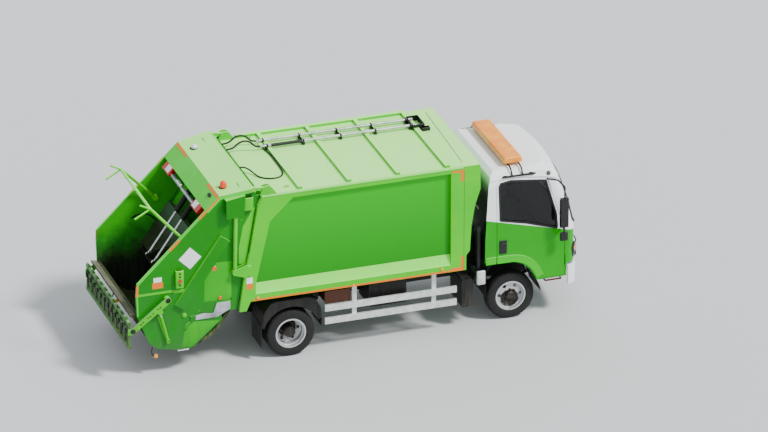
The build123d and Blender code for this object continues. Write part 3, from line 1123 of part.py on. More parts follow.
ARM_HOLES = [200, 300, 400, 500]
COMB_BOTTOM = 560
COMB_TOP = 1000
COMB_BARS = 11
COMB_HALF_WIDTH = 1090
TOOTH_TOP = 1062
with BuildPart() as bin_lift:
    for side in SIDES:
        arm_side = sorted((side * BIN_ARM_INNER_Y, side * BIN_ARM_OUTER_Y))
        edge = BIN_ARM_HALF_DEPTH
        across([on_arm(0, -edge), on_arm(arm_length, -edge + 8), on_arm(arm_length, edge - 8), on_arm(0, edge)], *arm_side)
        cross_bar(BIN_PIVOT_X, BIN_PIVOT_Z, *arm_side, BIN_ARM_HALF_DEPTH)
        cross_bar(BIN_ARM_END_X, BIN_ARM_END_Z, *arm_side, BIN_ARM_HALF_DEPTH - 8)
        cross_bar(BIN_LUG_X, BIN_LUG_Z, *arm_side, 42)
        cross_bar(BIN_PIVOT_X, BIN_PIVOT_Z, *arm_side, BIN_PIN_RADIUS + PIN_CLEARANCE, mode=Mode.SUBTRACT)
        for hole in ARM_HOLES:
            x, z = on_arm(hole, 0)
            cross_bar(x, z, *arm_side, 14, mode=Mode.SUBTRACT)
        tab = sorted((side * (COMB_HALF_WIDTH - 10), side * BIN_ARM_OUTER_Y))
        block(COMB_REAR + 12, COMB_FRONT + 24, *tab, BIN_ARM_END_Z - 44, BIN_ARM_END_Z + 44)
    block(COMB_REAR + 12, COMB_FRONT, -COMB_HALF_WIDTH, COMB_HALF_WIDTH, COMB_TOP - 50, COMB_TOP)
    block(COMB_REAR + 12, COMB_FRONT, -COMB_HALF_WIDTH, COMB_HALF_WIDTH, COMB_BOTTOM, COMB_BOTTOM + 50)
    block(COMB_REAR + 18, COMB_FRONT - 8, -COMB_HALF_WIDTH, COMB_HALF_WIDTH, BIN_ARM_END_Z - 22, BIN_ARM_END_Z + 22)
    for step in range(COMB_BARS):
        bar_y = -COMB_HALF_WIDTH + 20 + step * (2 * COMB_HALF_WIDTH - 40) / (COMB_BARS - 1)
        block(COMB_REAR + 20, COMB_FRONT - 10, bar_y - 20, bar_y + 20, COMB_BOTTOM, COMB_TOP)
        if step < COMB_BARS - 1:
            tooth_y = bar_y + (COMB_HALF_WIDTH - 20) / (COMB_BARS - 1)
            across([(COMB_FRONT, COMB_TOP - 40), (COMB_REAR + 12, COMB_TOP - 40), (COMB_REAR, TOOTH_TOP),
                    (COMB_REAR + 20, TOOTH_TOP)], tooth_y - 30, tooth_y + 30)
finish(bin_lift.part, "bin_lift")

# Bin lift cylinders
bin_length = hypot(BIN_LUG_X - BIN_FOOT_X, BIN_LUG_Z - BIN_FOOT_Z)


def on_bin_cylinder(distance):
    """Give a side-view point on a bin lift cylinder by its distance from the foot pin."""
    share = distance / bin_length
    return (BIN_FOOT_X + share * (BIN_LUG_X - BIN_FOOT_X), BIN_FOOT_Z + share * (BIN_LUG_Z - BIN_FOOT_Z))


BIN_BARREL_TOP = 430
BIN_ROD_BOTTOM = 70
with BuildPart() as bin_barrels:
    for side in SIDES:
        y = side * BIN_CYLINDER_Y
        top_x, top_z = on_bin_cylinder(BIN_BARREL_TOP)
        bar((BIN_FOOT_X, y, BIN_FOOT_Z), (top_x, y, top_z), BIN_BARREL_RADIUS)
        cross_bar(BIN_FOOT_X, BIN_FOOT_Z, y - 22, y + 22, 28)
        cross_bar(BIN_FOOT_X, BIN_FOOT_Z, y - 22, y + 22, BIN_EYE_PIN_RADIUS + PIN_CLEARANCE, mode=Mode.SUBTRACT)
        bore_x, bore_z = on_bin_cylinder(BIN_ROD_BOTTOM - 15)
        bar((bore_x, y, bore_z), (top_x, y, top_z), BIN_ROD_RADIUS + PIN_CLEARANCE, mode=Mode.SUBTRACT)
finish(bin_barrels.part, "bin_barrels")

with BuildPart() as bin_rods:
    for side in SIDES:
        y = side * BIN_CYLINDER_Y
        low_x, low_z = on_bin_cylinder(BIN_ROD_BOTTOM)
        bar((low_x, y, low_z), (BIN_LUG_X, y, BIN_LUG_Z), BIN_ROD_RADIUS)
        cross_bar(BIN_LUG_X, BIN_LUG_Z, y - 18, y + 18, 26)
        pin_side = sorted((side * (BIN_CYLINDER_Y - 18), side * (BIN_ARM_INNER_Y - SEAT_GAP)))
        cross_bar(BIN_LUG_X, BIN_LUG_Z, *pin_side, BIN_EYE_PIN_RADIUS)
finish(bin_rods.part, "bin_rods")

# Hoses from the roof pipes to the tailgate: ahead of the rear axle, out from the middle, height
HOSE_RADIUS = 15
HOSE_ROUTE = [
    (PIPE_REAR - SEAT_GAP, PIPE_Z), (-22, PIPE_Z), (-91, 2885), (-140, 2946), (-208, 2980), (-282, 2983),
    (-350, 2954), (-404, 2904), (-470, 2880), (SHELF_FRONT + SEAT_GAP, 2880),
]
with BuildPart() as roof_hoses:
    for pipe_y in PIPES_Y:
        route_tube([(x, pipe_y, z) for x, z in HOSE_ROUTE], HOSE_RADIUS)
finish(roof_hoses.part, "roof_hoses")

# Cable bundle along the rear rib and across to the tailgate
CABLE_RADIUS = 12
CABLE_Z = ROOF_TOP + CABLE_RADIUS + SEAT_GAP
CABLE_ROUTE = [
    (66, 540 - SEAT_GAP, CABLE_Z), (66, 450, CABLE_Z), (90, 330, CABLE_Z), (100, 170, CABLE_Z), (96, 0, CABLE_Z),
    (98, -170, CABLE_Z), (92, -340, CABLE_Z), (70, -480, CABLE_Z), (0, -570, CABLE_Z), (-110, -600, CABLE_Z),
    (-230, -560, CABLE_Z), (-310, -480, CABLE_Z), (-345, -395, CABLE_Z + 10), (-378, -318, CABLE_Z + 32),
    (-422, -256, 2862), (-480, -220, 2880), (SHELF_FRONT + SEAT_GAP, -220, 2880),
]
with BuildPart() as roof_cable:
    route_tube(CABLE_ROUTE, CABLE_RADIUS)
finish(roof_cable.part, "roof_cable")
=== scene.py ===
# %% [markdown]
# # A garbage truck, dressed around its CAD frame
# The solids of a rear-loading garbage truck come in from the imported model. This lesson gives them their
# finishes, and adds what a draughtsman leaves out: tread, lamps, tape, hoses, nuts, trim and dirt.
# Every length below is in millimetres, ahead of the rear axle, left of the middle and up from the road,
# because that is how a workshop would measure the truck. One helper turns them into metres.

# %% Load the frame
import json
import math
import bmesh
import bpy
import numpy as np
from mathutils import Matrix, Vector

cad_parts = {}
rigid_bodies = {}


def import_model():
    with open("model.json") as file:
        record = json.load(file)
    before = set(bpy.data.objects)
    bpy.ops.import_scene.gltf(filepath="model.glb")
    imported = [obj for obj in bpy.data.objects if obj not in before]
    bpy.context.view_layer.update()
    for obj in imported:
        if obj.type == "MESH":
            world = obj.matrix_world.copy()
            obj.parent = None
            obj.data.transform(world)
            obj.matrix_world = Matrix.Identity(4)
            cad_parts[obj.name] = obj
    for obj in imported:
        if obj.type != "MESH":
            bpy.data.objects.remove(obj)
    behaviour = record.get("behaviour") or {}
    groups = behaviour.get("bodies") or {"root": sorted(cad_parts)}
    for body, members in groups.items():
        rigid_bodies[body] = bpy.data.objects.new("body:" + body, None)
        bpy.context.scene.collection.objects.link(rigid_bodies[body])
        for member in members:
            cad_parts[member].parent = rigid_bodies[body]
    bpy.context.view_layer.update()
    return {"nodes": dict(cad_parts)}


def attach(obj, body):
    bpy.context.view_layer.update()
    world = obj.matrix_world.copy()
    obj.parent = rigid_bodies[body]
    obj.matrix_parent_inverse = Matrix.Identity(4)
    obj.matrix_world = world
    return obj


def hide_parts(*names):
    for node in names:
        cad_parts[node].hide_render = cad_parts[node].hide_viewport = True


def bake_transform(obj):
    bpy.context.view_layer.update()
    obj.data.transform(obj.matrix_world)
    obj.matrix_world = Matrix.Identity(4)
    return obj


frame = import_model()
nodes = frame["nodes"]
FRAME_MATERIALS = len(bpy.data.materials)

# %% [markdown]
# ## Camera
# The photograph was taken from a high bank with a long lens, behind and to the right of the truck.
# A long lens far away keeps the truck's edges nearly parallel, so the distance matters as much as the angle.
# Place, aim, lens and roll were solved from the truck's straight edges.

# %% Camera
AIM = Vector((0.834, 0.1634, 1.5262))
STATION = Vector((-31.659, -94.016, 48.699))
LENS = 337.16
SENSOR_WIDTH = 36
ROLL = math.radians(0.112)
FARTHEST_SEEN = 400

lens = bpy.data.cameras.new("camera")
camera = bpy.data.objects.new("camera", lens)
bpy.context.scene.collection.objects.link(camera)
camera.location = STATION
camera.rotation_euler = (AIM - STATION).to_track_quat("-Z", "Y").to_euler()
camera.rotation_euler.rotate_axis("Z", ROLL)
lens.lens = LENS
lens.sensor_width = SENSOR_WIDTH
lens.clip_end = FARTHEST_SEEN
lens.dof.use_dof = False
bpy.context.scene.camera = camera
print("camera:", round((AIM - STATION).length, 1), "m away")

# %% [markdown]
# ## Colour and shader nodes
# A hex colour is how a paint maker's chart gives it; the renderer wants linear light. One helper adds a
# shader node with its settings and inputs, and every finish below is built with it.


# %% Colour and node helpers
def linear(code):
    """sRGB hex to linear RGBA: below 0.04045 a twelfth, above it ((c + 0.055) / 1.055) ** 2.4."""
    channels = [int(code[k : k + 2], 16) / 255 for k in (1, 3, 5)]
    return [c / 12.92 if c <= 0.04045 else ((c + 0.055) / 1.055) ** 2.4 for c in channels] + [1.0]


def node(tree, kind, inputs=None, **settings):
    """Adds a node and returns its outputs. An input takes another node's output, a hex colour or a number."""
    made = tree.nodes.new("ShaderNode" + kind)
    for key, value in settings.items():
        setattr(made, key, value)
    for key, value in (inputs or {}).items():
        if isinstance(value, bpy.types.NodeSocket):
            tree.links.new(value, made.inputs[key])
        else:
            made.inputs[key].default_value = linear(value) if isinstance(value, str) else value
    return made.outputs


def finish_start(name, **sockets):
    """A new material with its shader, and the object's own coordinates and normals."""
    made = bpy.data.materials.new(name)
    made.use_nodes = True
    tree = made.node_tree
    shader = tree.nodes["Principled BSDF"]
    for key, value in sockets.items():
        shader.inputs[key.replace("_", " ")].default_value = value
    return made, tree, shader, node(tree, "TexCoord")


def finishes_made():
    """How many finishes the lesson has made so far, without those that came with the frame."""
    return len(bpy.data.materials) - FRAME_MATERIALS


print("a mid grey in linear light:", round(linear("#808080")[0], 3))

# %% [markdown]
# ## Sprayed enamel
# Truck enamel is smooth but never quite even. Faces that look up are painted a paler tone, as sunlight on
# them; film and rain streaks gather from the bottom up, and a faint orange peel about 2 mm across covers it
# all, drawn at 8 mm here so that it shows. A Map Range node turns a measure into a share from 0 to 1, and a
# Mix node lays one colour over another by that share. The low specular level keeps the pale sky out of the green.

# %% Sprayed enamel
PEEL_PER_METRE = 120
STREAK_STRETCH = (9, 9, 1.1)
FILM_FULL_BELOW = 0.35


def sprayed_enamel(name, main, faded, painted_sunlit=None, sunlit_from=0.45, film="#5d6a3c", patch=0.9, grime=0.3,
                   film_top=1.3, rough=0.32, split=None):
    """Enamel, faded in patches of patch metres, painted paler as sunlit where it faces up, with film below
    film_top.
    """
    made, tree, shader, coords = finish_start(
        name, Coat_Weight=0.05, Coat_Roughness=0.2, Specular_IOR_Level=0.22, Roughness=rough)
    place = coords["Object"]
    patches = node(tree, "TexNoise", {"Vector": place, "Scale": 1 / patch, "Detail": 5, "Roughness": 0.6})[0]
    share = node(tree, "MapRange", {0: patches, 1: 0.42, 2: 0.68})[0]
    colour = node(tree, "Mix", {0: share, 6: main, 7: faded}, data_type="RGBA")[2]
    if split:
        colour = split(tree, coords, colour)
    # Painted sunlight: a face blends towards the pale sunlit tone as its normal turns up.
    if painted_sunlit:
        facing = node(tree, "SeparateXYZ", {0: coords["Normal"]})["Z"]
        sunlit_share = node(tree, "MapRange", {0: facing, 1: sunlit_from, 2: sunlit_from + 0.25})[0]
        colour = node(tree, "Mix", {0: sunlit_share, 6: colour, 7: painted_sunlit}, data_type="RGBA")[2]
    stretch = node(tree, "Mapping", {"Vector": place, "Scale": STREAK_STRETCH})[0]
    streaks = node(tree, "TexNoise", {"Vector": stretch, "Scale": 1.6, "Detail": 6, "Roughness": 0.65})[0]
    runs = node(tree, "MapRange", {0: streaks, 1: 0.38, 2: 0.72, 4: grime * 2})[0]
    height = node(tree, "SeparateXYZ", {0: place})["Z"]
    low = node(tree, "MapRange", {0: height, 1: film_top, 2: FILM_FULL_BELOW})[0]
    soiled = node(tree, "Math", {0: runs, 1: low}, operation="MULTIPLY")[0]
    colour = node(tree, "Mix", {0: soiled, 6: colour, 7: film}, data_type="RGBA")[2]
    tree.links.new(colour, shader.inputs["Base Color"])
    peel = node(tree, "TexNoise", {"Vector": place, "Scale": PEEL_PER_METRE, "Detail": 2})[0]
    bump = node(tree, "Bump", {"Height": peel, "Strength": 0.05, "Distance": 0.002})[0]
    tree.links.new(bump, shader.inputs["Normal"])
    return made


print("peel drawn", round(1000 / PEEL_PER_METRE), "mm across")

# %% [markdown]
# Some steel parts are painted in two tones, and the scene repaints one solid rather than cutting it. A split
# works out the share of the second tone from the place on the truck: how far from the centre plane, how
# high, or how far ahead. The body's recessed panel takes painted shade this way, and the hopper's inside
# takes grime and painted shade. These heights and distances are in metres, because a shader reads metres.

# %% Second tones on the body and the tailgate
PANEL_PAINTED_SHADE_LOW = "#008e00"
PANEL_PAINTED_SHADE_HIGH = "#10b400"
HOPPER_GRIME_AND_SHADE = "#161c10"
HOPPER_CLEAN = "#2ca01c"
ARM_GREEN = "#46c400"
PACKER_GREY_GREEN = "#54765a"


def wall_recess_shade(tree, coords, colour):
    """The recessed panel, further in than 1.085 m, is a cooler green painted darker as the recess's shade; the
    painted shade lightens towards its top.
    """
    parts = node(tree, "SeparateXYZ", {0: coords["Object"]})
    out = node(tree, "Math", {0: parts["Y"]}, operation="ABSOLUTE")[0]
    inside = node(tree, "MapRange", {0: out, 1: 1.085, 2: 1.05})[0]
    rise = node(tree, "MapRange", {0: parts["Z"], 1: 1.3, 2: 2.7})[0]
    panel = node(tree, "Mix", {0: rise, 6: PANEL_PAINTED_SHADE_LOW, 7: PANEL_PAINTED_SHADE_HIGH}, data_type="RGBA")[2]
    return node(tree, "Mix", {0: inside, 6: colour, 7: panel}, data_type="RGBA")[2]


def tail_split(tree, coords, colour):
    """Inside the hopper, further in than 1.02 m, the paint darkens to black towards the bottom: scoured grime,
    and painted shade deep in the hopper.
    """
    parts = node(tree, "SeparateXYZ", {0: coords["Object"]})
    out = node(tree, "Math", {0: parts["Y"]}, operation="ABSOLUTE")[0]
    inside = node(tree, "MapRange", {0: out, 1: 1.022, 2: 1.012})[0]
    grime_and_shade_edge = {"Vector": coords["Object"], "Scale": 3.5, "Detail": 7, "Roughness": 0.7}
    height = node(tree, "Math", {0: parts["Z"], 1: node(tree, "TexNoise", grime_and_shade_edge)[0]}, operation="ADD")[0]
    clean = node(tree, "MapRange", {0: height, 1: 1.55, 2: 2.2})[0]
    soiled = node(tree, "Mix", {0: clean, 6: HOPPER_GRIME_AND_SHADE, 7: HOPPER_CLEAN}, data_type="RGBA")[2]
    return node(tree, "Mix", {0: inside, 6: colour, 7: soiled}, data_type="RGBA")[2]


def arm_split(tree, coords, colour):
    """The bin lift's arms, further out than 1.095 m, keep their bright paint; the comb between is rubbed."""
    parts = node(tree, "SeparateXYZ", {0: coords["Object"]})
    out = node(tree, "Math", {0: parts["Y"]}, operation="ABSOLUTE")[0]
    outside = node(tree, "MapRange", {0: out, 1: 1.094, 2: 1.098})[0]
    return node(tree, "Mix", {0: outside, 6: colour, 7: ARM_GREEN}, data_type="RGBA")[2]


def packer_split(tree, coords, colour):
    """The packer's upper plate keeps a worn grey-green, and is black below 1.7 m."""
    height = node(tree, "SeparateXYZ", {0: coords["Object"]})["Z"]
    clean = node(tree, "MapRange", {0: height, 1: 1.55, 2: 1.95})[0]
    return node(tree, "Mix", {0: clean, 6: colour, 7: PACKER_GREY_GREEN}, data_type="RGBA")[2]


print("panel runs from", PANEL_PAINTED_SHADE_LOW, "up to", PANEL_PAINTED_SHADE_HIGH)

# %% Second tones on the cab and the lockers
CAB_WHITE = "#f7f9f8"
CAB_BACK_BLACK = "#0c0d0e"
LOCKER_BROWN = "#5b3324"


def cab_split(tree, coords, colour):
    """White above a line that falls from 1.75 m at the cab's back to 1.47 m at its front, and on the nose;
    black on the back wall."""
    parts = node(tree, "SeparateXYZ", {0: coords["Object"]})
    line = node(tree, "Math", {0: parts["X"], 1: 0.26, 2: parts["Z"]}, operation="MULTIPLY_ADD")[0]
    above = node(tree, "MapRange", {0: line, 1: 2.305, 2: 2.309})[0]
    colour = node(tree, "Mix", {0: above, 6: colour, 7: CAB_WHITE}, data_type="RGBA")[2]
    facing = node(tree, "SeparateXYZ", {0: coords["Normal"]})["X"]
    nose = node(tree, "MapRange", {0: facing, 1: 0.86, 2: 0.92})[0]
    colour = node(tree, "Mix", {0: nose, 6: colour, 7: CAB_WHITE}, data_type="RGBA")[2]
    rear = node(tree, "MapRange", {0: facing, 1: -0.8, 2: -0.9})[0]
    behind = node(tree, "MapRange", {0: parts["X"], 1: 2.16, 2: 2.12})[0]
    share = node(tree, "Math", {0: rear, 1: behind}, operation="MULTIPLY")[0]
    return node(tree, "Mix", {0: share, 6: colour, 7: CAB_BACK_BLACK}, data_type="RGBA")[2]


def box_split(tree, coords, colour):
    """The locker ahead of the rear wheels is brown; the rest hung on the frame is black."""
    parts = node(tree, "SeparateXYZ", {0: coords["Object"]})
    after = node(tree, "MapRange", {0: parts["X"], 1: -0.51, 2: -0.50})[0]
    before = node(tree, "MapRange", {0: parts["X"], 1: -0.07, 2: -0.08})[0]
    right = node(tree, "MapRange", {0: parts["Y"], 1: -0.40, 2: -0.42})[0]
    span = node(tree, "Math", {0: after, 1: before}, operation="MULTIPLY")[0]
    share = node(tree, "Math", {0: span, 1: right}, operation="MULTIPLY")[0]
    return node(tree, "Mix", {0: share, 6: colour, 7: LOCKER_BROWN}, data_type="RGBA")[2]


print("cab white:", CAB_WHITE, "and locker brown:", LOCKER_BROWN)

# %% [markdown]
# Each green is named for the part that wears it. The colours are brighter than the photograph shows them,
# because the renderer's view softens strong colours.

# %% Enamels of the body
# The third colour given to an enamel is painted sunlight, laid on the faces that look up.
LIME, LIME_FADED, LIME_PAINTED_SUNLIT = "#3cc600", "#4ed000", "#b4ff88"
PALE_PAINTED_SUNLIT = "#b0ff84"
# Bright lime frame, painted pale on every ledge as sunlit.
lime_enamel = sprayed_enamel("lime_enamel_sprayed", LIME, LIME_FADED, LIME_PAINTED_SUNLIT, grime=0.15, film_top=1.5)
# The same lime round a cooler recessed panel, painted darker as the recess's shade; its lower slope looks up
# a little and is painted paler as sunlit.
wall_enamel = sprayed_enamel(
    "wall_enamel_sprayed", LIME, LIME_FADED, "#8cff58", 0.08, grime=0.15, split=wall_recess_shade)
# Roof painted pale where it faces up, as sunlight and sky on it; matt, with the ribs' sides still green.
roof_enamel = sprayed_enamel("roof_enamel_painted_sunlit", "#42bc18", "#52c828", PALE_PAINTED_SUNLIT, 0.6, patch=0.7, rough=0.5)
print("enamels of the body:", finishes_made())

# %% Enamels of the tailgate
YELLOW_PAINTED_SUNLIT = "#a5ec66"
SCOURED, SCOURED_FADED, SCOURED_PAINTED_SUNLIT = "#10180c", "#1f2b17", "#2b3423"
# Deep green cheeks outside, painted paler where they face up as sunlit; inside the hopper, black towards the
# bottom from scoured grime and painted shade.
tail_enamel = sprayed_enamel(
    "tailgate_enamel_sprayed", "#007e00", "#008c00", "#6fe04c", 0.35, film="#4c5a45", grime=0.4, film_top=1.6,
    split=tail_split)
# Crown plate: painted pale where it faces up, as sunlit.
crown_enamel = sprayed_enamel(
    "tailgate_roof_enamel_painted_sunlit", "#44cc2c", "#54d63c", PALE_PAINTED_SUNLIT, 0.78, patch=0.7, rough=0.45)
# Hopper floor: paint gone, black and dull.
hopper_enamel = sprayed_enamel(
    "hopper_enamel_scoured", SCOURED, SCOURED_FADED, SCOURED_PAINTED_SUNLIT, 0.5, grime=0.6, film_top=2.0, rough=0.6)
# Yellow-green arms, struts and control box.
arm_enamel = sprayed_enamel("arm_enamel_sprayed", "#44c000", "#58cc06", "#98f860", 0.4, grime=0.3)
# Lower cheek panels, a warmer green with film from the road.
panel_enamel = sprayed_enamel(
    "tailgate_panel_enamel_sprayed", "#1fa800", "#34b404", YELLOW_PAINTED_SUNLIT, 0.4, film="#4c6a35", grime=0.4,
    film_top=1.3)
# Comb: rubbed to primer in hand-sized patches, with bright arms.
comb_enamel = sprayed_enamel(
    "comb_enamel_rubbed", "#1f7a16", "#3b3f30", "#7fb070", 0.4, patch=0.12, grime=0.6, rough=0.5,
    split=arm_split)
print("enamels with the tailgate's:", finishes_made())

# %% Enamels of the cab, the cylinders and the frame
ROAD_FILM = "#4b463d"
FRAME_BLACK, FRAME_GREY = "#121213", "#1c1b1b"
# Arch trims, a step lighter than the door so that the band shows.
arch_enamel = sprayed_enamel("arch_trim_enamel_sprayed", "#30bc10", "#3cc41c", "#80e860", 0.4, grime=0.05)
# Cylinder barrels, clean and pale green.
cylinder_enamel = sprayed_enamel("cylinder_enamel_sprayed", "#4cc424", "#5ccf35", YELLOW_PAINTED_SUNLIT, grime=0.1)
# Cab: glossier than the body, green below its line and white above.
cab_enamel = sprayed_enamel(
    "cab_enamel_sprayed", "#089a00", "#10a400", None, patch=2.0, grime=0.08, rough=0.2, split=cab_split)
# White bumper and gutters with a little grey film low down.
white_enamel = sprayed_enamel(
    "white_enamel_sprayed", "#f4f6f6", "#fbfcfb", film="#9a9a90", patch=1.5, grime=0.2, rough=0.22)
# Satin black frame under brown road film.
frame_enamel = sprayed_enamel(
    "frame_enamel_black", FRAME_BLACK, FRAME_GREY, film=ROAD_FILM, grime=0.4, film_top=1.1, rough=0.55)
# The same black on the lockers, one of them brown.
box_enamel = sprayed_enamel(
    "locker_enamel_black", FRAME_BLACK, FRAME_GREY, film=ROAD_FILM, grime=0.4, film_top=1.1, rough=0.55,
    split=box_split)
# Packer plates: scoured like the hopper, with grey-green left at the top.
packer_enamel = sprayed_enamel(
    "packer_enamel_scoured", SCOURED, SCOURED_FADED, SCOURED_PAINTED_SUNLIT, 0.5, grime=0.3, film_top=2.0, rough=0.6,
    split=packer_split)
print("enamels in all:", finishes_made())

# %% [markdown]
# ## Rubber, plastic, metals, glass and lenses
# Tyre rubber is matt and never black: it greys with road dust in patches. Moulded black plastic
# has a fine grain of about a millimetre, drawn at 3 mm here. Rolled and cast metals carry a second tone in
# patches where dirt or polish has changed them.


# %% Plain grained finishes
def grained(name, main, second, scale, rough, bump_strength=0.2, **sockets):
    """A plain surface with a second tone in patches and a fine grain, both from noise of scale per metre."""
    made, tree, shader, coords = finish_start(name, Roughness=rough, **sockets)
    place = coords["Object"]
    tone = node(tree, "TexNoise", {"Vector": place, "Scale": scale / 12, "Detail": 6, "Roughness": 0.65})[0]
    share = node(tree, "MapRange", {0: tone, 1: 0.4, 2: 0.66})[0]
    colour = node(tree, "Mix", {0: share, 6: main, 7: second}, data_type="RGBA")[2]
    tree.links.new(colour, shader.inputs["Base Color"])
    grain = node(tree, "TexNoise", {"Vector": place, "Scale": scale, "Detail": 3})[0]
    bump = node(tree, "Bump", {"Height": grain, "Strength": bump_strength, "Distance": 0.001})[0]
    tree.links.new(bump, shader.inputs["Normal"])
    return made


print("a scale of 300 per metre is a grain of", round(1000 / 300, 1), "mm")

# %% Rubber, plastic and cloth
# Moulded rubber: the dullest surface on the outside, dark grey under dust.
tyre_rubber = grained("tyre_rubber_moulded", "#111112", "#1f1d1a", 300, 0.85)
# Moulded black plastic: a soft sheen broken by its grain.
black_abs = grained("abs_moulded_black", "#0b0b0c", "#141415", 330, 0.5)
# Extruded hose rubber: smoother than a tyre, with a green cast.
hose_rubber = grained("hose_rubber_extruded", "#0e1110", "#1b1d1b", 420, 0.6)
# Woven seat cloth: matt, with a weave of 1.4 mm.
seat_cloth = grained("seat_cloth_woven", "#1c1d20", "#2a2c31", 700, 0.95, 0.5)
print("finishes so far:", finishes_made())

# %% Metals
# Forged and turned steel, dark with oil and brake dust.
dark_steel = grained("steel_forged_dark", "#2a2826", "#45413b", 150, 0.5, 0.4, Metallic=0.6)
# Bare plate, bright where it is worn.
bare_steel = grained("steel_plate_worn", "#c3c8cd", "#8b8f92", 60, 0.42, 0.25, Metallic=0.5)
# Zinc-plated tube: a soft, even silver.
pipe_steel = grained("steel_tube_zinc_plated", "#c6cac8", "#9a9f9c", 90, 0.35, 0.1, Metallic=0.6)
# The sill, scoured by bins to a brownish grey.
sill_steel = grained("steel_sill_scoured", "#8b8474", "#5f6a52", 70, 0.5, 0.4, Metallic=0.35)
# The sweep blade, black with refuse.
blade_steel = grained("steel_plate_grimy", "#1d2119", "#0e100c", 90, 0.55, 0.4, Metallic=0.4)
# Chromed rods: the sharpest highlight of the metals.
chromed_rod = grained("steel_rod_chromed", "#d4d6d8", "#bec0c2", 200, 0.15, 0.02, Metallic=0.9)
# Anodised rails: pale grey, nearly white in the sun.
guard_rail = grained("aluminium_rail_anodised", "#e4e7e4", "#c6c9c4", 120, 0.4, 0.1, Metallic=0.35)
# Cast iron: rough, dark grey with brown in it.
cast_grey = grained("iron_cast_grey", "#3a3a39", "#55524b", 180, 0.6, 0.5, Metallic=0.3)
# Comb sheets between the tines, where grime dries in patches.
comb_grime = grained("steel_comb_grimy", "#14160f", "#56604a", 160, 0.7, 0.5, Metallic=0.2)
# Red-brown primed steps below the doors.
step_brown = grained("steel_step_primed", "#5b241a", "#40201a", 120, 0.7, 0.3)
print("finishes so far:", finishes_made())

# %% [markdown]
# A truck's wheel is one pressed steel disc in silver paint. Round the hub it is dark: brake dust, and
# painted shade in the dished middle of the disc. The dark zone runs low on the front wheels, so its middle
# is a little off the axle. The zone's edge is broken by noise.

# %% Wheel steel
WHEEL_SILVER, BRAKE_DUST_AND_SHADE = "#c2c3c4", "#2e2824"
FRONT_WHEEL_X, REAR_WHEEL_X = 2.53, -1.07


def wheel_steel(name, axle, dust_and_shade_height):
    """Silver wheel steel, dark brown closer than 150 mm to a middle near the axle's: brake dust, and painted
    shade in the disc's dished middle.
    """
    made, tree, shader, coords = finish_start(name, Roughness=0.35, Metallic=0.5)
    from_axle = node(tree, "Mapping", {0: coords["Object"], 1: (-axle, 0, -dust_and_shade_height)})[0]
    flat = node(tree, "VectorMath", {0: from_axle, 1: (1, 0, 1)}, operation="MULTIPLY")[0]
    reach = node(tree, "VectorMath", {0: flat}, operation="LENGTH")["Value"]
    dust_and_shade_noise = node(tree, "TexNoise", {"Vector": coords["Object"], "Scale": 14, "Detail": 5})[0]
    edge = node(tree, "Math", {0: dust_and_shade_noise, 1: 0.06, 2: reach}, operation="MULTIPLY_ADD")[0]
    share = node(tree, "MapRange", {0: edge, 1: 0.19, 2: 0.17})[0]
    colour = node(tree, "Mix", {0: share, 6: WHEEL_SILVER, 7: BRAKE_DUST_AND_SHADE}, data_type="RGBA")[2]
    tree.links.new(colour, shader.inputs["Base Color"])
    return made


front_wheel_steel = wheel_steel("wheel_steel_front_silvered", FRONT_WHEEL_X, 0.325)
rear_wheel_steel = wheel_steel("wheel_steel_rear_silvered", REAR_WHEEL_X, 0.4)
print("finishes so far:", finishes_made())

# %% [markdown]
# Lenses are moulded polycarbonate, whose index is 1.58. They look solid from outside because the reflector
# behind them fills them with their own colour. Glass is tinted, and dark against the cab's inside.

# %% Lenses, films and glass
POLYCARBONATE_IOR, GLASS_IOR = 1.58, 1.52
# Roof bar and markers: warm amber.
amber_lens = grained("polycarbonate_amber", "#ff8800", "#ffae2c", 60, 0.25, 0.05, IOR=POLYCARBONATE_IOR)
# The beacon and the tailgate's reflectors: deep orange.
orange_lens = grained("polycarbonate_orange", "#f03c00", "#f85400", 60, 0.2, 0.05, IOR=POLYCARBONATE_IOR)
# Tail lamps and the stop button: signal red.
red_lens = grained("polycarbonate_red", "#c01218", "#9b0c10", 60, 0.18, 0.05, IOR=POLYCARBONATE_IOR)
# Headlamp covers and lamp windows: cold, almost white.
clear_lens = grained("polycarbonate_clear", "#e6ebec", "#d4dbde", 60, 0.12, 0.05, IOR=POLYCARBONATE_IOR)
# Reflective tape: flat orange with beads too fine to see one by one.
orange_tape = grained("reflective_tape_orange", "#f06c00", "#e07e04", 260, 0.4, 0.15)
# Plain white film.
white_film = grained("vinyl_film_white", "#f3f4f5", "#e4e6e8", 120, 0.4, 0.05)
# Dark green strips of painted shade in the body's seams.
seam_shade_strip = grained("seam_painted_shade_green", "#175206", "#1f6009", 200, 0.7)
# Mirror glass with a dimming tint.
mirror_glass = grained("glass_mirror_dimmed", "#3d444b", "#30363c", 40, 0.05, 0.01, Metallic=1.0)
# Tinted window glass: mostly dark, a little of the seats shows through.
window_glass, _, glass_shader, _ = finish_start("glass_tinted_float", Roughness=0.03, IOR=GLASS_IOR, Alpha=0.55)
glass_shader.inputs["Base Color"].default_value = linear("#070b0c")
print("finishes on the truck:", finishes_made())

# %% [markdown]
# Each CAD node keeps its own mesh and takes a finish in its material slot. Nodes that a made piece stands
# for later are dressed too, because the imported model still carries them.

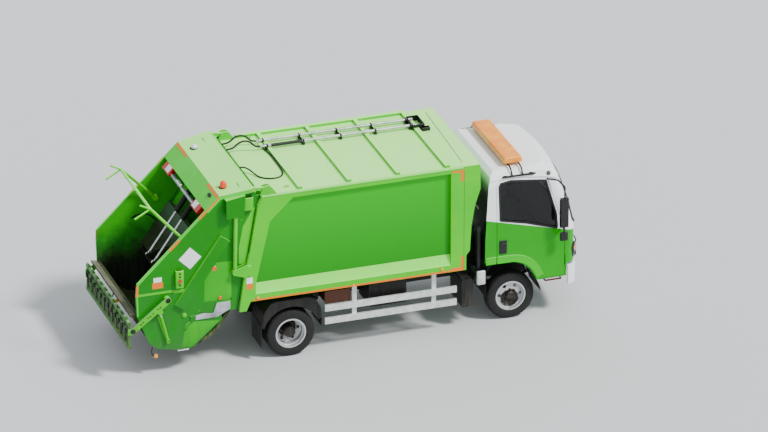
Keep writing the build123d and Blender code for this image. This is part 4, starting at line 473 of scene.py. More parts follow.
# %% Dress the CAD nodes
FINISHES = {
    lime_enamel: ["body_floor", "body_front"],
    wall_enamel: ["body_wall_left", "body_wall_right"],
    roof_enamel: ["body_roof"],
    crown_enamel: ["tailgate_roof"],
    tail_enamel: ["tailgate_side_left", "tailgate_side_right", "ejector_plate"],
    hopper_enamel: ["hopper_trough", "packer_barrels"],
    packer_enamel: ["packer_carriage"],
    cylinder_enamel: ["lift_barrels"],
    arm_enamel: ["bin_barrels", "lid_opener"],
    comb_enamel: ["bin_lift"],
    cab_enamel: ["cab_shell", "door_left", "door_right"],
    white_enamel: ["front_bumper"],
    frame_enamel: ["chassis_frame", "front_axle", "rear_axle", "leaf_springs", "rear_mudguards",
                   "knuckle_left", "knuckle_right", "roof_rack"],
    box_enamel: ["frame_boxes"],
    cast_grey: ["engine"],
    tyre_rubber: ["front_tyre_left", "front_tyre_right", "rear_tyres_left", "rear_tyres_right"],
    front_wheel_steel: ["front_rim_left", "front_rim_right"],
    rear_wheel_steel: ["rear_rims_left", "rear_rims_right"],
    black_abs: ["air_intake", "dashboard", "mirror_left", "mirror_right"],
    hose_rubber: ["roof_hoses", "roof_cable"],
    bare_steel: ["exhaust"],
    pipe_steel: ["roof_pipes"],
    blade_steel: ["sweep_blade"],
    chromed_rod: ["lift_rods", "bin_rods", "packer_rods"],
    guard_rail: ["side_guards", "front_grille"],
    window_glass: ["cab_glass", "door_glass_left", "door_glass_right"],
    seat_cloth: ["seats"],
    amber_lens: ["light_bar"],
    orange_lens: ["beacons"],
    red_lens: ["rear_lamps"],
    clear_lens: ["headlamps"],
}
for finish, names in FINISHES.items():
    for name in names:
        nodes[name].data.materials.clear()
        nodes[name].data.materials.append(finish)
print("dressed:", sum(len(names) for names in FINISHES.values()), "of", len(nodes))

# %% [markdown]
# ## Shapes as arrays
# Each new piece is a surface worked out on a grid of two parameters. These helpers turn such grids into
# meshes, so the cells further down only hold the formula of the piece itself.

# %% Millimetres to metres, and faces of a grid
REAR_AXLE = -1.070


def metres(points):
    """Turns millimetres ahead of the rear axle, left and up into metres in the truck's own frame."""
    return np.asarray(points, float) / 1000 + np.array([REAR_AXLE, 0, 0])


def grid_faces(rows, columns, close_rows=False, close_columns=False):
    """Quads between the neighbours of a grid: row i, column j, then round to the next row and column."""
    i, j = np.meshgrid(
        np.arange(rows if close_rows else rows - 1), np.arange(columns if close_columns else columns - 1),
        indexing="ij")
    i, j = i.ravel(), j.ravel()
    next_i, next_j = (i + 1) % rows, (j + 1) % columns
    return np.stack([i * columns + j, i * columns + next_j, next_i * columns + next_j, next_i * columns + j], 1)


print("the front axle is at", metres((3600, 0, 385)).tolist())


# %% Turned shapes and tubes
def lathe(profile, centre, axis=(0, 1, 0), turns=32):
    """Surface of revolution: point = centre + along * axis + radius * (cos t * side + sin t * up),
    for each (along, radius) of the profile and t once round."""
    axis = np.asarray(axis, float) / np.linalg.norm(axis)
    side = np.cross(axis, (0.3, 0.5, 0.8) if abs(axis[2]) > 0.9 else (0, 0, 1.0))
    side /= np.linalg.norm(side)
    up = np.cross(axis, side)
    run, radius = np.asarray(profile, float).T
    t = np.linspace(0, 2 * np.pi, turns, endpoint=False)
    ring = np.cos(t)[:, None, None] * side + np.sin(t)[:, None, None] * up
    points = np.asarray(centre, float) + run[None, :, None] * axis + radius[None, :, None] * ring
    return points.reshape(-1, 3), grid_faces(turns, len(run), close_rows=True)


def disc(radius, depth, edge=2):
    """Profile of a solid disc: out along its back, up its side over a cut edge, and in along its front."""
    return [(0, 0), (0, radius), (depth - edge, radius), (depth, radius - edge), (depth, 0)]


def tube(path, radius, sides=12):
    """Tube along a path: point = path + radius * (cos t * side + sin t * up), with both carried along it."""
    path = np.asarray(path, float)
    run = np.gradient(path, axis=0)
    run /= np.linalg.norm(run, axis=1)[:, None]
    side = np.cross(run, (0.0, 0.0, 1.0))
    weak = np.linalg.norm(side, axis=1) < 0.05
    side[weak] = np.cross(run[weak], (0.0, 1.0, 0.0))
    side /= np.linalg.norm(side, axis=1)[:, None]
    up = np.cross(side, run)
    t = np.linspace(0, 2 * np.pi, sides, endpoint=False)[None, :, None]
    body = path[:, None] + radius * (np.cos(t) * side[:, None] + np.sin(t) * up[:, None])
    ends = [np.repeat(path[k][None, None], sides, 1) for k in (0, -1)]
    rows = np.concatenate([ends[0], body, ends[1]])
    return rows.reshape(-1, 3), grid_faces(len(rows), sides, close_columns=True)


print("a disc's profile:", disc(40, 12))


# %% Rounded blocks
def pebble(low, high, rounding, steps=3):
    """Rounded block: a ball of the rounding's radius, pulled apart so its eight octants sit in the corners.
    point = corner of the inner box + rounding * (cos b cos a, cos b sin a, sin b)."""
    low, high = np.asarray(low, float), np.asarray(high, float)
    centre, half = (low + high) / 2, (high - low) / 2
    rounding = min(rounding, half.min() * 0.99)
    quarter = np.linspace(0, np.pi / 2, steps + 1)
    a = np.concatenate([quarter + k * np.pi / 2 for k in range(4)])
    b = np.concatenate([quarter - np.pi / 2, quarter])
    signs = np.stack(np.broadcast_arrays(
        np.repeat([1, -1, -1, 1], steps + 1)[None, :], np.repeat([1, 1, -1, -1], steps + 1)[None, :],
        np.repeat([-1, 1], steps + 1)[:, None]), -1)
    a, b = np.broadcast_arrays(a[None, :], b[:, None])
    ball = np.stack([np.cos(b) * np.cos(a), np.cos(b) * np.sin(a), np.sin(b)], -1)
    points = (centre + signs * (half - rounding) + rounding * ball).transpose(1, 0, 2)
    return points.reshape(-1, 3), grid_faces(*points.shape[:2], close_rows=True)


print("a rounded block has", len(pebble((0, 0, 0), (9, 9, 9), 2)[0]), "points")


# %% Plates, sheets and their outlines
def plate(outline, origin, u_axis, v_axis, thickness):
    """Flat plate: outline (u, v) laid on two axes, once at the back and once a thickness in front."""
    outline = np.asarray(outline, float)
    u_axis, v_axis = np.asarray(u_axis, float), np.asarray(v_axis, float)
    normal = np.cross(u_axis, v_axis)
    back = np.asarray(origin, float) + outline[:, :1] * u_axis + outline[:, 1:] * v_axis
    count = len(outline)
    k = np.arange(count)
    sides = np.stack([k, (k + 1) % count, (k + 1) % count + count, k + count], 1)
    return np.concatenate([back, back + thickness * normal]), [
        *sides.tolist(), list(range(count))[::-1], list(range(count, 2 * count))]


def side_sheet(outline, y, thickness):
    """Thin plate on the truck's right side: outline (x, z) at y, and a thickness further out."""
    return plate(outline, (0, y, 0), (1, 0, 0), (0, 0, 1), thickness)


def rectangle(u_low, u_high, v_low, v_high):
    """Corners of a rectangle."""
    return [(u_low, v_low), (u_high, v_low), (u_high, v_high), (u_low, v_high)]


def oval(centre, half_u, half_v, steps=28):
    """Points round an oval: centre + (half_u cos t, half_v sin t)."""
    t = np.linspace(0, 2 * np.pi, steps, endpoint=False)
    return np.asarray(centre, float) + np.stack([half_u * np.cos(t), half_v * np.sin(t)], 1)


print("a plate's faces:", len(side_sheet(rectangle(0, 1, 0, 1), 0, 1)[1]))


# %% Pressed panels, ribbons and smooth lines
def pressed_panel(corners, y, bulge, flatness=6, steps=20):
    """Panel pressed outward on the right side: the four (x, z) corners blended by u and v, with the depth
    bulge * (1 - |2u - 1| ** flatness) * (1 - |2v - 1| ** flatness), over a flat back."""
    corners = np.asarray(corners, float)
    u, v = np.meshgrid(np.linspace(0, 1, steps), np.linspace(0, 1, steps), indexing="ij")
    weights = np.stack([(1 - u) * (1 - v), u * (1 - v), u * v, (1 - u) * v], -1)
    flat = weights @ corners
    depth = bulge * (1 - np.abs(2 * u - 1) ** flatness) * (1 - np.abs(2 * v - 1) ** flatness)
    front = np.stack([flat[..., 0], y - depth, flat[..., 1]], -1).reshape(-1, 3)
    back = np.stack([flat[..., 0], np.full_like(u, y), flat[..., 1]], -1).reshape(-1, 3)
    faces = grid_faces(steps, steps)
    return np.concatenate([front, back]), np.concatenate([faces, faces[:, ::-1] + len(front)])


SUNK = -6.0  # the back of a ribbon is set this far into the surface, so that no gap shows


def across_path(path):
    """At each point of a flat path, the direction across it, a unit long."""
    run = np.gradient(path, axis=0)
    run /= np.linalg.norm(run, axis=1)[:, None]
    return np.stack([-run[:, 1], run[:, 0]], 1)


def band(rows):
    """Four corners at each station of a path, joined into a closed bar with both its ends filled."""
    last = 4 * len(rows)
    faces = grid_faces(len(rows), 4, close_columns=True).tolist()
    return rows.reshape(-1, 3), [*faces, [0, 1, 2, 3], [last - k for k in (1, 2, 3, 4)]]


def ribbon(path, width, surface, proud, offset=0.0):
    """Band along an (x, z) path on a side surface y = -surface(x, z): four corners at each station, half the
    width either way across the path, a little under the surface and a little proud of it."""
    path = np.asarray(path, float)
    across = across_path(path)
    low, high = path + (offset - width / 2) * across, path + (offset + width / 2) * across
    corners = [(low, SUNK), (high, SUNK), (high, proud), (low, proud)]
    return band(np.stack(
        [np.stack([p[:, 0], -(surface(p[:, 0], p[:, 1]) + out), p[:, 1]], 1) for p, out in corners], 1))


def smooth_line(points, steps=8):
    """More points on a polyline: a Catmull-Rom curve, which runs through every point it is given."""
    points = np.asarray(points, float)
    held = np.concatenate([2 * points[:1] - points[1:2], points, 2 * points[-1:] - points[-2:-1]])
    t = np.linspace(0, 1, steps, endpoint=False)[None, :, None]
    a, b, c, d = (held[k : len(held) - 3 + k][:, None] for k in range(4))
    curve = b + 0.5 * t * (c - a + t * (2 * a - 5 * b + 4 * c - d + t * (3 * (b - c) + d - a)))
    return np.concatenate([curve.reshape(-1, points.shape[1]), points[-1:]])


def even_line(corners, steps):
    """More points on a polyline whose corners stay sharp: steps points on each straight run."""
    runs = [np.linspace(a, b, steps, endpoint=False) for a, b in zip(corners[:-1], corners[1:])]
    return np.concatenate([*runs, np.array(corners[-1:], float)])


print("a smooth line through 3 points has", len(smooth_line([(0, 0), (1, 1), (2, 0)])), "points")


# %% Both sides
def mirrored(part):
    """The same shape on the truck's other side, with its faces still pointing out."""
    points, faces = part
    return points * np.array([1, -1, 1]), [list(face)[::-1] for face in faces]


def both_sides(parts):
    """Shapes and their mirror images."""
    return [*parts, *(mirrored(part) for part in parts)]


print("two of each:", len(both_sides([pebble((0, 1, 0), (1, 2, 1), 0.1)])))

# %% [markdown]
# One function makes the Blender object: it joins the shapes, merges the doubles on their seams and poles,
# turns the faces outward, gives the finish and a body to ride on, and rounds the edges where asked.

# %% Pieces
SEAM_DISTANCE, POINT_DISTANCE = 2e-5, 1e-6
ROUNDED_ABOVE, SHARP_ABOVE = math.radians(40), math.radians(38)


def piece(name, parts, finish, body, bevel=0.0, stands_for=(), rides=True):
    """Joins shapes into one object, closes its seams, gives it a finish and lets it ride on a body."""
    faces, first = [], 0
    for points, part_faces in parts:
        faces += [[int(k) + first for k in face] for face in part_faces]
        first += len(points)
    mesh = bpy.data.meshes.new(name)
    mesh.from_pydata(metres(np.concatenate([points for points, _ in parts])).tolist(), [], faces)
    work = bmesh.new()
    work.from_mesh(mesh)
    bmesh.ops.remove_doubles(work, verts=work.verts, dist=SEAM_DISTANCE)
    bmesh.ops.dissolve_degenerate(work, edges=work.edges, dist=POINT_DISTANCE)
    bmesh.ops.recalc_face_normals(work, faces=work.faces)
    work.to_mesh(mesh)
    work.free()
    made = bpy.data.objects.new(name, mesh)
    bpy.context.scene.collection.objects.link(made)
    mesh.materials.append(finish)
    if bevel:
        edge = made.modifiers.new("edge", "BEVEL")
        edge.width = bevel / 1000
        edge.segments = 2
        edge.limit_method = "ANGLE"
        edge.angle_limit = ROUNDED_ABOVE
    mesh.shade_smooth()
    mesh.set_sharp_from_angle(angle=SHARP_ABOVE)
    if stands_for:
        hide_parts(*stands_for)
    if rides:
        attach(made, body)
    print(f"{name}: {len(mesh.polygons)} faces on {body}")
    return made

# %% [markdown]
# ## Hoses and cable over the hinge
# Two hydraulic hoses and a thin electric cable cross from the body's roof to the tailgate, with enough spare
# length for the tailgate to swing up by 75 degrees. Each lies on a smooth NURBS curve whose control points
# are the route of the CAD solid, and the tube is carried along points read back from that curve. It rides on
# no body.


# %% Cord lines
def cord_line(name, route):
    """Points read from a NURBS curve of the third order that takes the route's points as its control points."""
    curve = bpy.data.curves.new(name, "CURVE")
    curve.dimensions = "3D"
    spline = curve.splines.new("NURBS")
    spline.points.add(len(route) - 1)
    spline.points.foreach_set("co", np.column_stack([metres(route), np.ones(len(route))]).ravel())
    spline.order_u = 3
    spline.use_endpoint_u = True
    mesh = bpy.data.meshes.new_from_object(bpy.data.objects.new(name, curve))
    points = np.empty(len(mesh.vertices) * 3)
    mesh.vertices.foreach_get("co", points)
    return points.reshape(-1, 3)


def hinge_cord(name, route, radius, replaced):
    """A tube along a cord line, bent between the body's roof and the tailgate; it rides on no body."""
    line = cord_line(name + "_line", route)
    made = piece(name, [tube((line - [REAR_AXLE, 0, 0]) * 1000, radius)], hose_rubber, "chassis",
                 stands_for=(replaced,), rides=False)
    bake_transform(made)


# %% Hoses and cable
HOSE_RADIUS, CABLE_RADIUS = 15, 12
HOSE_PLACES = {"roof_hose_left": 665, "roof_hose_right": 450}
HOSE_ROUTE = [(53.7, 2852.3), (-22, 2852.3), (-91, 2885), (-140, 2946), (-208, 2980), (-282, 2983), (-350, 2954),
              (-404, 2904), (-470, 2880), (-559.7, 2880)]
ON_ROOF = 2802.3
CABLE_ROUTE = [
    *((x, y, ON_ROOF) for x, y in (
        (66, 539.7), (66, 450), (90, 330), (100, 170), (96, 0), (98, -170), (92, -340), (70, -480), (0, -570),
        (-110, -600), (-230, -560), (-310, -480))),
    (-345, -395, 2812.3), (-378, -318, 2834.3), (-422, -256, 2862), (-480, -220, 2880), (-559.7, -220, 2880)]
for name, y in HOSE_PLACES.items():
    hinge_cord(name, [(x, y, z) for x, z in HOSE_ROUTE], HOSE_RADIUS, "roof_hoses")
hinge_cord("roof_cable_line", CABLE_ROUTE, CABLE_RADIUS, "roof_cable")

# %% [markdown]
# ## Tyres
# The tread pattern of a truck tyre is four straight grooves and a notched shoulder. The half section lists
# how far from the tyre's middle each point is and at what radius; the notches are a cut taken off the
# shoulder in the last fifth of each of 48 pitches. The ring closes along the rim's seat.

# %% Treaded tyres
HALF_SECTION = np.array([
    (0, 385), (8.9, 385), (9.1, 373), (16.9, 373), (17.1, 385), (33.9, 385), (34.1, 373), (41.9, 373), (42.1, 385),
    (62, 385), (72, 383), (86, 378), (97, 366), (103, 346), (106, 322), (107, 296), (106, 272), (103, 258),
    (98, 250), (94, 243), (92, 236), (90, 232)], float)
NOTCH_DEPTH = 10
NOTCHED_FROM = 0.78
IN_A_PITCH = [0.0, 0.76, 0.8, 0.96]


def treaded_tyre(centre, pitches=48):
    """Tyre: point = centre + offset * y + radius(offset, t) * (cos t x + sin t z), where the radius is the
    section's, less the notch's depth on the shoulder while t is in the last fifth of a pitch."""
    section = np.concatenate([HALF_SECTION[::-1] * [-1, 1], HALF_SECTION[1:]])
    part = np.tile(IN_A_PITCH, pitches)
    t = (np.repeat(np.arange(pitches), 4) + part) * 2 * np.pi / pitches
    shoulder = np.interp(np.abs(section[:, 0]), [46, 62, 97, 103], [0, 1, 1, 0])
    radius = section[None, :, 1] - NOTCH_DEPTH * shoulder[None, :] * (part[:, None] > NOTCHED_FROM)
    points = np.stack([radius * np.cos(t)[:, None], np.broadcast_to(section[:, 0], radius.shape),
                       radius * np.sin(t)[:, None]], -1) + np.asarray(centre, float)
    return points.reshape(-1, 3), grid_faces(len(t), len(section), close_rows=True, close_columns=True)


# %% Tyres on their wheels
FRONT_AXLE = 3600
HUB_HEIGHT = 385
FRONT_TYRE_Y, TWIN_TYRES_Y = 780, (688, 938)
SIDES = (("left", 1), ("right", -1))
for side, sign in SIDES:
    piece("tread_front_" + side, [treaded_tyre((FRONT_AXLE, sign * FRONT_TYRE_Y, HUB_HEIGHT))], tyre_rubber,
          "wheel_front_" + side, stands_for=("front_tyre_" + side,))
    piece("tread_rear_" + side, [treaded_tyre((0, sign * y, HUB_HEIGHT)) for y in TWIN_TYRES_Y], tyre_rubber,
          "wheels_rear_" + side, stands_for=("rear_tyres_" + side,))

# %% [markdown]
# ## Wheel nuts and hubs
# A nut is a turned shape with only six turns. Eight sit on each wheel's bolt circle, and the hub's cap and
# flange bolts in the middle. The valve's stem is a bent tube through a hand hole.


# %% Nuts and hub profiles
def ring_of(count, radius, centre, sign, profile, turns):
    """Turned shapes spaced evenly round a circle about the wheel's axis."""
    t = np.arange(count) * 2 * np.pi / count
    places = np.asarray(centre, float) + radius * np.stack([np.cos(t), 0 * t, np.sin(t)], 1)
    return [lathe(profile, place, (0, sign, 0), turns) for place in places]


NUT = [(0, 0), (0, 17), (15, 17), (19, 13), (19, 9), (30, 8), (32, 0)]
BOLT = [(0, 0), (0, 9), (8, 9), (10, 6), (10, 0)]
HUB_CAP = [(-4, 0), (-4, 68), (4, 70), (10, 66), (14, 54), (20, 48), (24, 0)]
HUB_FLANGE = [(-4, 0), (-4, 80), (2, 80), (4, 76), (4, 34), (9, 30), (12, 0)]
print("a nut is", NUT[-1][0], "mm high and", 2 * NUT[1][1], "mm over its corners")

# %% Nuts, caps, flanges and valves
FRONT_DISC_Y, REAR_DISC_Y = 842, 813
FRONT_CIRCLE, REAR_CIRCLE, FLANGE_CIRCLE = 97, 103, 62
for side, sign in SIDES:
    axis = (0, sign, 0)
    front_body, rear_body = "wheel_front_" + side, "wheels_rear_" + side
    front, rear = (FRONT_AXLE, sign * FRONT_DISC_Y, HUB_HEIGHT), (0, sign * REAR_DISC_Y, HUB_HEIGHT)
    piece("nuts_front_" + side, ring_of(8, FRONT_CIRCLE, front, sign, NUT, 6), dark_steel, front_body)
    piece("nuts_rear_" + side, ring_of(8, REAR_CIRCLE, rear, sign, NUT, 6), dark_steel, rear_body)
    piece("hub_cap_front_" + side, [lathe(HUB_CAP, (FRONT_AXLE, sign * 872, HUB_HEIGHT), axis, 40)], dark_steel,
          front_body)
    bolts = ring_of(8, FLANGE_CIRCLE, (0, sign * 1000, HUB_HEIGHT), sign, BOLT, 6)
    piece("hub_flange_rear_" + side, [lathe(HUB_FLANGE, (0, sign * 998, HUB_HEIGHT), axis, 40), *bolts],
          dark_steel, rear_body)
    stem = smooth_line([(FRONT_AXLE + ahead, sign * y, HUB_HEIGHT) for ahead, y in (
        (168, 800), (172, 845), (190, 862))])
    piece("valve_front_" + side, [tube(stem, 4.5)], bare_steel, front_body)

# %% [markdown]
# ## Seats
# Three seats show through the glass. Each cushion is a closed form whose sides pull in between its corners
# and whose top is crowned; shallow channels are pressed across it where the cover is sewn down. The back
# leans, and the headrest is the same form, smaller. Simulated cloth would add folds that nobody can see
# through tinted glass, so the crown and the channels are worked out by formula.

# %% Crowned cushions
CORNER_POWER = 5
CHANNEL_DEPTH, CHANNEL_WIDTH = 9, 0.035


def crowned_cushion(low, high, crown, pull, channels, face, lean=0.0, steps=28):
    """Cushion: a block whose section is a superellipse of power 5 in each direction, with its sides pulled in
    by pull between the corners, its face raised by crown * (1 - u^2)(1 - v^2) and each channel pressed in by
    9 * exp(-((v - place) / 0.035)^2). lean shifts it backwards as it rises."""
    low, high = np.asarray(low, float), np.asarray(high, float)
    centre, half = (low + high) / 2, (high - low) / 2
    a, b = np.meshgrid(np.linspace(0, 2 * np.pi, 4 * steps, endpoint=False),
                       np.linspace(-np.pi / 2, np.pi / 2, 2 * steps + 1), indexing="ij")
    ball = np.stack([np.cos(b) * np.cos(a), np.cos(b) * np.sin(a), np.sin(b)], -1)
    box = ball / (np.abs(ball) ** CORNER_POWER).sum(-1, keepdims=True) ** (1 / CORNER_POWER)
    first, second = [k for k in range(3) if k != face]
    u, v = box[..., first], box[..., second]
    points = box.copy()
    for one, other in ((first, second), (second, first)):
        points[..., one] *= 1 - pull / half[one] * (1 - np.clip(box[..., other], -1, 1) ** 2)
    points *= half
    up = np.clip(box[..., face], 0, 1) ** 2
    points[..., face] += up * crown * (1 - np.clip(u, -1, 1) ** 2) * (1 - np.clip(v, -1, 1) ** 2)
    across = u if face == 2 else v
    for place in channels:
        points[..., face] -= up * CHANNEL_DEPTH * np.exp(-(((across - place) / CHANNEL_WIDTH) ** 2))
    points[..., 0] -= lean * (points[..., 2] / (2 * half[2]) + 0.5)
    return (points + centre).reshape(-1, 3), grid_faces(*a.shape, close_rows=True)


# %% Seats
SEAT_PLACES = {"left": 560, "middle": 0, "right": -560}
for seat, y in SEAT_PLACES.items():
    for part, shape in {
        "seat_cushion_": crowned_cushion(
            (3318, y - 225, 1262), (3842, y + 225, 1398), 16, 9, (-0.45, 0.1, 0.6), 2),
        "seat_back_": crowned_cushion(
            (3272, y - 212, 1398), (3400, y + 212, 1880), 14, 9, (-0.4, 0.1, 0.55), 0, 34),
        "seat_headrest_": crowned_cushion((3236, y - 120, 1893), (3318, y + 120, 2026), 8, 5, (), 0, 6),
    }.items():
        pad = piece(part + seat, [shape], seat_cloth, "cab", stands_for=("seats",))
base_parts = [pebble((3325, y - 200, 1102), (3800, y + 200, 1266), 18) for y in SEAT_PLACES.values()]
piece("seat_bases", base_parts, black_abs, "cab", stands_for=("seats",))

# %% [markdown]
# ## Tape and film on the body
# Orange reflective tape outlines the body so that drivers see its size at night. It is a film a millimetre
# thick, so it is a plate laid on the wall and not a colour in the paint. Both sides carry the same fittings.

# %% Body tape, sill rails and film
AHEAD, RIGHT, UP = (1, 0, 0), (0, -1, 0), (0, 0, 1)
WALL = -1100
FILM = 1.5
tape = [side_sheet(corners, WALL, FILM) for corners in (
    [(2558, 2702), (2703, 2702), (2703, 2550), (2752, 2550), (2752, 2738), (2558, 2738)],
    [(2547, 1053), (2752, 1053), (2752, 1291), (2712, 1291), (2712, 1112), (2547, 1112)],
    rectangle(-620, 2547, 1053, 1082),
    rectangle(-726, -618, 1262, 1352),
)]
piece("body_tape", both_sides(tape), orange_tape, "chassis")
sill_rail = [side_sheet(rectangle(-596, 2545, 1083, 1166), -1084, 16.5)]
piece("body_sill_rails", both_sides(sill_rail), lime_enamel, "chassis", bevel=2)
films = [side_sheet(rectangle(-722, -624, 1356, 1456), WALL, FILM)]
piece("body_stickers_plain", both_sides(films), white_film, "chassis")

# %% [markdown]
# ## Seams and markers
# The body is welded from panels, and the gaps at the joints lie in shade, painted here as dark lines. A seam
# could be a groove cut in the wall, but a thin proud dark strip reads the same from here and leaves the wall
# whole. The side markers are turned lenses.

# %% Seams and side markers
# Dark strips of painted shade: in the gap at the front post, and along the recess's lower edge.
seams = [side_sheet(rectangle(2753, 2758, 1055, 2738), WALL, 1.2),
         side_sheet(rectangle(-571, 2543, 1331, 1335), -1040, 1)]
piece("body_seams", both_sides(seams), seam_shade_strip, "chassis")
# A dark strip of painted shade in the joint between the roof and the front.
seam = plate([(2846, 964), (2856, 964), (2780, -943), (2770, -943)], (0, 0, 2789.5), AHEAD, (0, 1, 0), 2)
piece("roof_front_seam", [seam], seam_shade_strip, "chassis")
MARKER = [(0, 0), (0, 24), (12, 23), (19, 16), (22, 0)]
MARKER_PLACES = [(-546, 1097), (980, 1068), (2401, 1120)]
markers = [lathe(MARKER, (x, WALL - 1, z), RIGHT, 24) for x, z in MARKER_PLACES]
piece("side_markers", both_sides(markers), amber_lens, "chassis")

# %% [markdown]
# ## Roof fittings
# Four eyes of bent rod stand on the roof for lifting, and two pipes run along it in moulded clamps to a
# junction box at the front. Bent rods are tubes along a curve, and the moulded parts are rounded blocks.

# %% Lifting eyes
ROOF = 2790


def lifting_eye(x, y, z):
    """Half ring, 60 mm across and 34 mm high, of rod 14 mm thick, standing along the truck on a foot."""
    t = np.linspace(0, np.pi, 13)
    arch = np.stack([x + 30 * np.cos(t), y + 0 * t, z + 34 * np.sin(t)], 1)
    foot = pebble((x - 44, y - 18, z - 3), (x + 44, y + 18, z + 6), 4)
    return [tube(arch, 7, 8), foot]


eyes = [part for x in (-24, 2492) for part in lifting_eye(x, -925, ROOF)]
piece("lifting_eyes", both_sides(eyes), lime_enamel, "chassis")

# %% Pipe clamps, sleeve, junction and ferrules
PIPE_Y = (450, 665)
PIPE_Z = 2852.3
CLAMPS_X = (120, 700, 1300, 1860, 2420)
clamps = [pebble((x - 22, 420, ROOF), (x + 22, 695, 2832), 8) for x in CLAMPS_X]
clamps += [pebble((x - 14, y - 30, 2826), (x + 14, y + 30, 2879), 10) for x in CLAMPS_X for y in PIPE_Y]
piece("pipe_clamps", clamps, black_abs, "chassis")
sleeve = [tube([(x, PIPE_Y[0], PIPE_Z) for x in (180, 300, 600, 680)], 26)]
piece("pipe_sleeve", sleeve, hose_rubber, "chassis")
junction = [pebble((2440, 380, ROOF), (2640, 730, 2884), 12), pebble((2560, 300, ROOF), (2700, 380, 2850), 10)]
piece("pipe_junction", junction, black_abs, "chassis")
FERRULE = [(0, 0), (0, 20), (34, 20), (36, 24), (58, 24), (60, 0)]
ferrules = [lathe(FERRULE, (8, y, PIPE_Z), AHEAD, 6) for y in PIPE_Y]
piece("hose_ferrules", ferrules, pipe_steel, "chassis")

# %% [markdown]
# ## Tailgate
# The tailgate's cheeks are pressed from plate and stiffened by a sloping guide beam. The lower panels bulge
# outward a little, a bare steel belt is bolted along the bottom edge, and the rear edge has a pale flange.
# Cutting these from the cheek would need a new solid, so each is a thin plate or ribbon laid on it.


# %% Tailgate panels, belts and edge flanges
def cheek_out(x, z):
    """The cheek is flat: every point is as far out."""
    return np.full(np.shape(x), 1040.0)


CHEEK = -1040
panels = [
    pressed_panel([(-1373, 1134), (-946, 1116), (-938, 1751), (-1365, 1769)], CHEEK, 12),
    pressed_panel([(-1740, 425), (-1565, 420), (-1130, 790), (-1660, 845)], CHEEK, 26, 3),
]
piece("tailgate_panels", both_sides(panels), panel_enamel, "tailgate")
belt = [side_sheet([(-1515, 935), (-1385, 955), (-1240, 930), (-1180, 1092), (-968, 1092), (-968, 966),
                    (-1180, 858), (-1515, 858)], -1052, 5)]
piece("tailgate_belts", both_sides(belt), bare_steel, "tailgate")
EDGE_LINE = [(-1342, 2638), (-1900, 2096), (-2425, 1586), (-2446, 1352), (-2438, 1050)]
EDGE_OFFSET = 14
flange = [ribbon(EDGE_LINE, 24, cheek_out, 7, EDGE_OFFSET)]
piece("tailgate_edge_flanges", both_sides(flange), crown_enamel, "tailgate")

# %% Tailgate rail faces, struts, bosses and gussets
rails = [side_sheet(rectangle(-2422, -1862, 1374, 1408), -1046, 1.2),
         side_sheet(rectangle(-1862, -1560, 1352, 1400), CHEEK, 4)]
piece("tailgate_rail_faces", both_sides(rails), arm_enamel, "tailgate")
struts = [side_sheet([(-2120, 1000), (-2070, 1016), (-1920, 538), (-1968, 522)], CHEEK, 10)]
piece("tailgate_struts", both_sides(struts), arm_enamel, "tailgate", bevel=2)
BOSS = [(0, 0), (0, 36), (12, 36), (16, 30), (16, 14), (22, 12), (22, 0)]
bosses = [lathe(BOSS, (-1690, CHEEK, 960), RIGHT, 28)]
piece("trough_bosses", both_sides(bosses), arm_enamel, "tailgate")
gusset = [side_sheet([(-1700, 700), (-1640, 700), (-1440, 990), (-1470, 1010)], CHEEK, 8)]
piece("trough_gussets", both_sides(gusset), tail_enamel, "tailgate", bevel=2)

# %% [markdown]
# ## Plain films and tape on the tailgate
# The cheek carries a white diamond, a sticker and lengths of the same orange tape as the body. All are left
# plain. Tape on the sloping edges is a ribbon, because a ribbon follows an outline of any shape, and the
# crown's side narrows going back, so its tape takes its distance out from a formula.


# %% Films, tape and reflectors
def crown_out(x, z):
    """Half width of the tailgate's crown, which narrows from 1100 to 1040 going back."""
    return 1100 - 60 * np.clip((-600 - np.asarray(x, float)) / 520, 0, 1)


diamond = [side_sheet([(-1592, 1715), (-1412, 1895), (-1592, 2075), (-1772, 1895)], CHEEK, 2)]
piece("diamond_plate_plain", diamond, white_film, "tailgate")
tail_films = [side_sheet(rectangle(-2170, -2040, 1572, 1650), CHEEK, FILM)]
piece("tailgate_stickers_plain", both_sides(tail_films), white_film, "tailgate")
EDGE_TAPES = [[(-1350, 2630), (-1450, 2533)], [(-1764, 2228), (-1923, 2074)], [(-2440, 1560), (-2447, 1380)]]
edges = [
    *(ribbon(path, 34, cheek_out, 8.5, EDGE_OFFSET) for path in EDGE_TAPES),
    ribbon([(-604, 2902), (-700, 2888), (-790, 2875)], 36, crown_out, 2),
    ribbon([(-1128, 2820), (-1200, 2752), (-1330, 2628)], 26, crown_out, 2),
    side_sheet(rectangle(-2190, -2020, 1468, 1566), CHEEK, FILM),
]
piece("tailgate_tape", both_sides(edges), orange_tape, "tailgate")
reflectors = [lathe(disc(40, 12, 4), (-1214, CHEEK, 1668), RIGHT, 32),
              lathe(disc(28, 12, 4), (-1129, CHEEK - 12, 1171), RIGHT, 28)]
piece("tailgate_reflectors", both_sides(reflectors), orange_lens, "tailgate")

# %% [markdown]
# ## Tailgate controls and low lamps
# The tailgate's controls are small closed shapes: a rounded box with a red stop button and black buttons. A
# strip lamp sits low down, and a second lamp hangs behind it on a bent stalk. Turned profiles give the knobs
# and lamps their steps in a few numbers.

